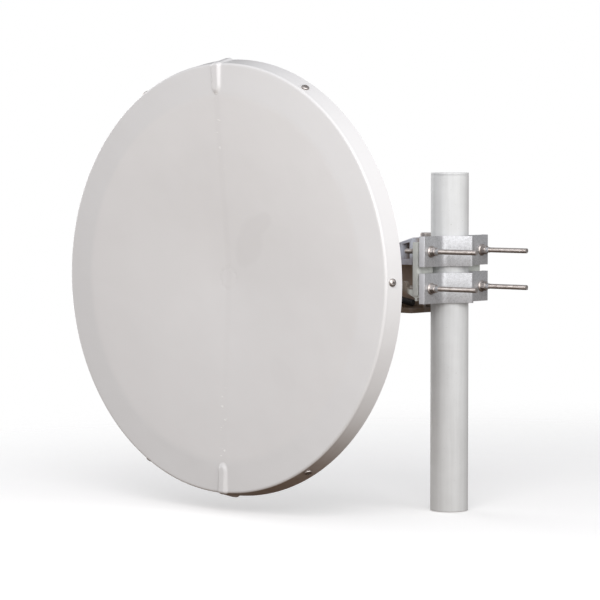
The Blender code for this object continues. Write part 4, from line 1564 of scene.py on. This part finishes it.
@dataclass
class SwingArm:
    """The ribbed arm between the pivot and the dish, its bolts and the adjusting screw."""

    paints: Paints
    ear_left: float = -166.0 * MM
    cheek_right: float = -149.7 * MM
    tilt_y: float = -12.0 * MM
    tilt_z: float = 371.0 * MM
    lock_radius: float = 33.0 * MM
    pivot_foot: float = 314.5 * MM
    pivot_seat: float = 434.2 * MM
    pivot_thread: float = 12.0 * MM
    pivot_spin: float = 0.35
    screw_tip: Point = (-67.5 * MM, -8.0 * MM, 329.2 * MM)
    screw_slope: float = math.radians(10.0)
    screw_length: float = 66.0 * MM
    cap_length: float = 26.0 * MM
    cap_radius: float = 6.0 * MM
    cap_end_radius: float = 3.5 * MM
    cap_taper: float = 2.5 * MM
    cap_solid: float = 6.0 * MM
    nut_start: float = 2.0 * MM
    nut_height: float = 6.0 * MM

    def build_tilt_bolt(self, size: Hardware, rise: float, spin: float) -> Piece:
        """Model a bolt through the dish's ear and the arm's cheek.

        Args:
            size: its hardware.
            rise: its height over the tilt axis.
            spin: its head's turn.

        Returns:
            The bolt with its washers and nut, in its place.
        """
        seat = SEAT_GAP + WASHER_THICK
        nut_high = self.ear_left - self.cheek_right - seat
        nut_low = nut_high - size.head
        bolt = size.bolt(nut_low - STICK_OUT - seat, -2.0 * MM)
        parts = [
            put(bolt, Matrix.Translation((0.0, 0.0, seat))),
            size.washer(SEAT_GAP),
            size.washer(nut_high),
            size.nut(nut_low, nut_high),
        ]
        return put(combine(parts), aim((self.cheek_right, self.tilt_y, self.tilt_z + rise), spin))

    def screw_frame(self) -> Matrix:
        """Return the adjusting screw's place, its tip at the origin and its rod below."""
        turn = Matrix.Rotation(QUARTER_TURN + self.screw_slope, 4, "Y")
        return Matrix.Translation(self.screw_tip) @ turn

    def build_screw(self) -> Piece:
        """Model the adjusting screw with its lock nut.

        Returns:
            The screw, in its place.
        """
        nut_high = -self.cap_length - self.nut_start
        rod = smooth(M8.thread(-self.screw_length, -self.cap_solid))
        return put(combine([rod, M8.nut(nut_high - self.nut_height, nut_high)]), self.screw_frame())

    def build_cap(self) -> Piece:
        """Model the black cap on the screw's end.

        Returns:
            The cap, in its place.
        """
        radius, taper, mouth = self.cap_radius, self.cap_taper, -self.cap_length
        bore, inner = M8.shank + SEAT_GAP, -self.cap_solid + SEAT_GAP
        profile = [
            (0.0, inner),
            (bore, inner),
            (bore, mouth),
            (radius - 0.4 * MM, mouth),
            (radius, mouth + 0.4 * MM),
            (radius, mouth + 2.0 * MM),
            (radius - 0.5 * MM, mouth + 2.4 * MM),
            (radius - 0.5 * MM, -taper - MM),
        ]
        centre = (self.cap_end_radius - 0.4 * MM, -taper)
        profile += arc(centre, taper, math.radians(20.0), QUARTER_TURN, 6) + [(0.0, 0.0)]
        return put(smooth(lathe(profile, 40)), self.screw_frame())

    def build_pivot_bolt(self) -> Piece:
        """Model the upright bolt of the pivot.

        Returns:
            The bolt, in its place.
        """
        tip = self.pivot_foot - self.pivot_seat
        place = Matrix.Translation((PIVOT.x, PIVOT.y, self.pivot_seat))
        place = place @ Matrix.Rotation(self.pivot_spin, 4, "Z")
        return put(M12.bolt(tip, tip + self.pivot_thread), place)

    def build(self) -> None:
        """Build the arm and its hardware."""
        dress = self.paints.dress
        dress(fine_copy("swing_arm", 1.0 * MM), "cast_arm", Slot.CAST, Body.DISH, "swing_arm")
        for node, size, rise, spin in (
            ("tilt_pivot_bolt", M12, 0.0, 0.2),
            ("tilt_lock_bolt_upper", M10, self.lock_radius, 0.9),
            ("tilt_lock_bolt_lower", M10, -self.lock_radius, 0.5),
        ):
            bolt = self.build_tilt_bolt(size, rise, spin)
            dress(bolt, node.replace("bolt", "screw"), Slot.BRIGHT, Body.DISH, node)
        dress(self.build_screw(), "adjusting_screw", Slot.BRIGHT, Body.DISH, "azimuth_screw")
        dress(self.build_cap(), "adjusting_cap", Slot.BLACK, Body.DISH, "azimuth_screw_cap")
        dress(self.build_pivot_bolt(), "pivot_bolt", Slot.BRIGHT, Body.MAST, "azimuth_pivot_bolt")


@dataclass
class Clamp:
    """The saddle behind the pole, the two jaws before it and the four rods with their nuts."""

    paints: Paints
    middle_z: float = 386.0 * MM
    spacing: float = 58.3 * MM
    height: float = 48.0 * MM
    wall: float = 4.0 * MM
    apex: float = 30.45 * MM * math.sqrt(2.0)
    flange_x: float = 10.0 * MM
    half_width: float = 82.0 * MM
    lip: float = 7.0 * MM
    blunt: float = 46.5 * MM
    hole: float = 4.4 * MM              # radius of the jaws' rod holes
    rod_y: float = 65.0 * MM
    rod_start: float = -36.5 * MM
    rod_end: float = 104.8 * MM
    rod_spins: tuple[float, ...] = (0.59, 0.20, 0.64, 0.93)
    nut_flange: float = 9.4 * MM
    nut_flange_thick: float = 2.2 * MM
    nut_height: float = 8.0 * MM

    def jaw_outline(self) -> list[Pair]:
        """Draw up the jaw's outline from above.

        Returns:
            The outline, with its bends rounded.
        """
        outer_x = self.flange_x + self.wall
        outer_apex = self.apex + self.wall * math.sqrt(2.0)
        inner_y = self.half_width - self.wall
        lip_x = self.flange_x - self.lip
        half = [
            ((self.flange_x, self.apex - self.flange_x), 24.0 * MM),
            ((self.flange_x, inner_y), 2.0 * MM),
            ((lip_x, inner_y), 1.2 * MM),
            ((lip_x, self.half_width), 1.2 * MM),
            ((outer_x, self.half_width), 1.0 * MM),
            ((outer_x, outer_apex - outer_x), 20.0 * MM),
            ((self.blunt, outer_apex - self.blunt), 6.0 * MM),
        ]
        other = [((x, -y), radius) for (x, y), radius in half[::-1]]
        return rounded([((self.apex, 0.0), 2.5 * MM)] + half + other, 7)

    def build_jaw(self) -> Piece:
        """Model one jaw about the clamp's axis.

        Returns:
            The jaw, its middle at height 0.
        """
        jaw = draw_out(self.jaw_outline(), -self.height / 2.0, self.height / 2.0)
        for y in (-self.rod_y, self.rod_y):
            through = 30.0 * MM
            tool = lathe([(0.0, 0.0), (self.hole, 0.0), (self.hole, through), (0.0, through)], 32)
            carve(jaw, put(tool, aim((0.0, y, 0.0))))
        return smooth(soften(jaw, 0.7 * MM, 3, 50.0))

    def build_rod(self) -> Piece:
        """Model one clamp rod with its flange nut, along Z with the pole's axis at height 0.

        Returns:
            The rod.
        """
        seat = self.flange_x + self.wall + SEAT_GAP
        nut = M8.flange_nut(seat, self.nut_flange, self.nut_flange_thick, self.nut_height)
        return combine([smooth(M8.thread(self.rod_start, self.rod_end)), nut])

    def build(self) -> None:
        """Build the saddle, the jaws and the rods."""
        dress, saddle = self.paints.dress, fine_copy("pole_saddle", 0.9 * MM)
        dress(saddle, "cast_saddle", Slot.CAST, Body.MAST, "pole_saddle", PaleCast().make())
        jaw, rod = self.build_jaw(), self.build_rod()
        number = 0
        for level, side in (("upper", 0.5), ("lower", -0.5)):
            z = self.middle_z + side * self.spacing
            copy = another(jaw, Matrix.Translation((0.0, 0.0, z)))
            dress(copy, f"zinc_jaw_{level}", Slot.ZINC, Body.MAST, f"clamp_jaw_{level}")
            for y in (-self.rod_y, self.rod_y):
                copy = another(rod, aim((0.0, y, z), self.rod_spins[number]))
                number += 1
                node = f"clamp_stud_{number}"
                dress(copy, f"clamp_rod_{number}", Slot.BRIGHT, Body.MAST, node)
        discard(jaw)
        discard(rod)


@dataclass
class Mast:
    """The pole's length with its top cap and foot plug."""

    paints: Paints
    radius: float = 30.15 * MM
    wall: float = 3.6 * MM
    height: float = 535.3 * MM
    edge: float = 0.4 * MM
    cap_thick: float = 4.0 * MM
    cap_round: float = 1.2 * MM
    spigot: float = 12.0 * MM
    steps: int = 128

    def build_tube(self) -> Piece:
        """Model the pole.

        Returns:
            The pole, in its place.
        """
        radius, inner, edge, top = self.radius, self.radius - self.wall, self.edge, self.height
        ring = [
            (radius - edge, 0.0),
            (radius, edge),
            (radius, top / 2.0),
            (radius, top - edge),
            (radius - edge, top),
            (inner, top),
            (inner, 0.0),
        ]
        return smooth(lathe(ring + ring[:1], self.steps))

    def build_cap(self) -> Piece:
        """Model the cap on the pole's top.

        Returns:
            The cap, in its place.
        """
        plug, seat = self.radius - self.wall - SEAT_GAP, self.height + SEAT_GAP
        low, top = self.height - self.spigot, self.height + self.cap_thick
        profile = [
            (0.0, low),
            (plug, low),
            (plug, seat),
            (self.radius - 0.3 * MM, seat),
            (self.radius, seat + 0.3 * MM),
        ]
        centre = (self.radius - self.cap_round, top - self.cap_round)
        profile += arc(centre, self.cap_round, 0.0, QUARTER_TURN, 5) + [(0.0, top)]
        return smooth(lathe(profile, self.steps))

    def build(self) -> None:
        """Build the pole."""
        self.paints.dress(self.build_tube(), "pole_tube", Slot.POLE, Body.MAST, "pole")
        self.paints.dress(self.build_cap(), "pole_cap", Slot.POLE, Body.MAST, "pole_top_cap")
        self.paints.repaint("pole_foot_plug", Slot.POLE)


# The studio


@dataclass
class Studio:
    """The plain floor, the soft light and the camera."""

    azimuth: float = math.radians(41.4)
    elevation: float = math.radians(2.9)
    distance: float = 4.335
    aside: float = 0.1265
    lowered: float = 0.0336
    lens: float = 164.04
    floor_radius: float = 2.6
    floor_fade: Pair = (0.5, 2.1)
    sky: Colour = (0.45, 0.45, 0.465)
    horizon: Colour = (0.42, 0.42, 0.42)
    ground: Colour = (0.215, 0.175, 0.145)
    front_gain: float = 0.42
    lit_point: Point = (-0.15, -0.1, 0.37)
    tint: Colour = (1.0, 0.995, 0.995)
    boxes: tuple[tuple[str, Point, float, Pair, float], ...] = (
        ("side_box", (0.97, -0.12, 0.20), 3.2, (2.2, 2.0), 33.5),
        ("front_box", (0.56, -0.72, 0.50), 2.1, (1.4, 1.4), 24.0),
        ("left_box", (-0.98, 0.12, 0.15), 3.0, (2.2, 2.0), 34.0),
    )                                   # name, direction, distance, width and height, watts

    def build_floor(self) -> None:
        """Lay the pale floor, which fades out at its rim."""
        release()
        bpy.ops.mesh.primitive_circle_add(
            vertices=96, radius=self.floor_radius, fill_type="NGON", location=(-0.1, 0.0, -0.001)
        )
        floor = bpy.context.object
        floor.name = "studio_floor"
        settle()
        r = Recipe.of_finish("floor")
        x, y, _ = r.split(r.place())
        radius = (x * x + y * y) ** 0.5
        paper = r.noise(r.place(), 3.0, 2.0, 0.5)
        finish = r.finish({
            "Base Color": r.blend((0.80, 0.797, 0.793), (0.77, 0.767, 0.763), paper),
            "Roughness": 0.9,
            "Alpha": r.rise(radius, *self.floor_fade, 1.0, 0.0),
            "Emission Color": (1.0, 1.0, 1.0),
            "Emission Strength": 0.32,
        })
        floor.data.materials.append(finish)
        floor.visible_diffuse = False
        floor.visible_glossy = False

    def build_sky(self) -> None:
        """Give the room its soft light, pale above and brownish below, with plain white in view."""
        world = bpy.data.worlds.new("studio_room")
        bpy.context.scene.world = world
        r = Recipe(world)
        _, y, z = r.split(r.node("ShaderNodeTexCoord"))
        tone = r.blend(self.ground, self.horizon, r.rise(z, -0.45, 0.0))
        tone = r.blend(tone, self.sky, r.rise(z, 0.0, 0.5))
        gain = 1.0 - y * self.front_gain
        room = r.node("ShaderNodeBackground", inputs={"Color": tone, "Strength": gain})
        behind = r.node("ShaderNodeBackground", inputs={"Color": (1.0, 1.0, 1.0), "Strength": 1.0})
        is_camera = r.node("ShaderNodeLightPath")
        mixed = r.node("ShaderNodeMixShader", inputs={0: is_camera, 1: room, 2: behind})
        r.fill(r.nodes["World Output"].inputs["Surface"], mixed)

    def build_lights(self) -> None:
        """Hang the soft boxes, which look at the antenna."""
        for name, toward, distance, (width, height), power in self.boxes:
            data = bpy.data.lights.new(name, "AREA")
            data.shape = "RECTANGLE"
            data.size, data.size_y = width, height
            data.energy = power
            data.color = self.tint
            light = bpy.data.objects.new(name, data)
            bpy.context.scene.collection.objects.link(light)
            away = Vector(toward).normalized() * distance
            light.matrix_world = aim(Vector(self.lit_point) + away, axis=away)
            light.visible_camera = False

    def build_camera(self) -> None:
        """Set the camera at the photograph's angle."""
        sin_a, cos_a = math.sin(self.azimuth), math.cos(self.azimuth)
        sin_e, cos_e = math.sin(self.elevation), math.cos(self.elevation)
        back = Vector((sin_a * cos_e, -cos_a * cos_e, sin_e))
        right = Vector((cos_a, sin_a, 0.0))
        up = Vector((-sin_a * sin_e, cos_a * sin_e, cos_e))
        place = DISH_CENTRE + right * self.aside - up * self.lowered + back * self.distance
        data = bpy.data.cameras.new("photo_camera")
        data.lens = self.lens
        data.sensor_width = 36.0
        data.clip_start, data.clip_end = 0.1, 100.0
        camera = bpy.data.objects.new("photo_camera", data)
        bpy.context.scene.collection.objects.link(camera)
        turn = Matrix((right, up, back)).transposed().to_4x4()
        camera.matrix_world = Matrix.Translation(place) @ turn
        bpy.context.scene.camera = camera

    def build(self) -> None:
        """Build the studio."""
        bpy.context.scene.view_settings.view_transform = "Standard"
        self.build_floor()
        self.build_sky()
        self.build_lights()
        self.build_camera()


def main() -> None:
    """Build the antenna's pieces, then the studio."""
    logging.basicConfig(level=logging.INFO, format="%(name)s: %(message)s")
    paints = Paints()
    cover = Cover(paints)
    cover.build()
    Bowl(paints).build(cover)
    SwingArm(paints).build()
    Clamp(paints).build()
    Mast(paints).build()
    Studio().build()


if __name__ == "__main__":
    main()
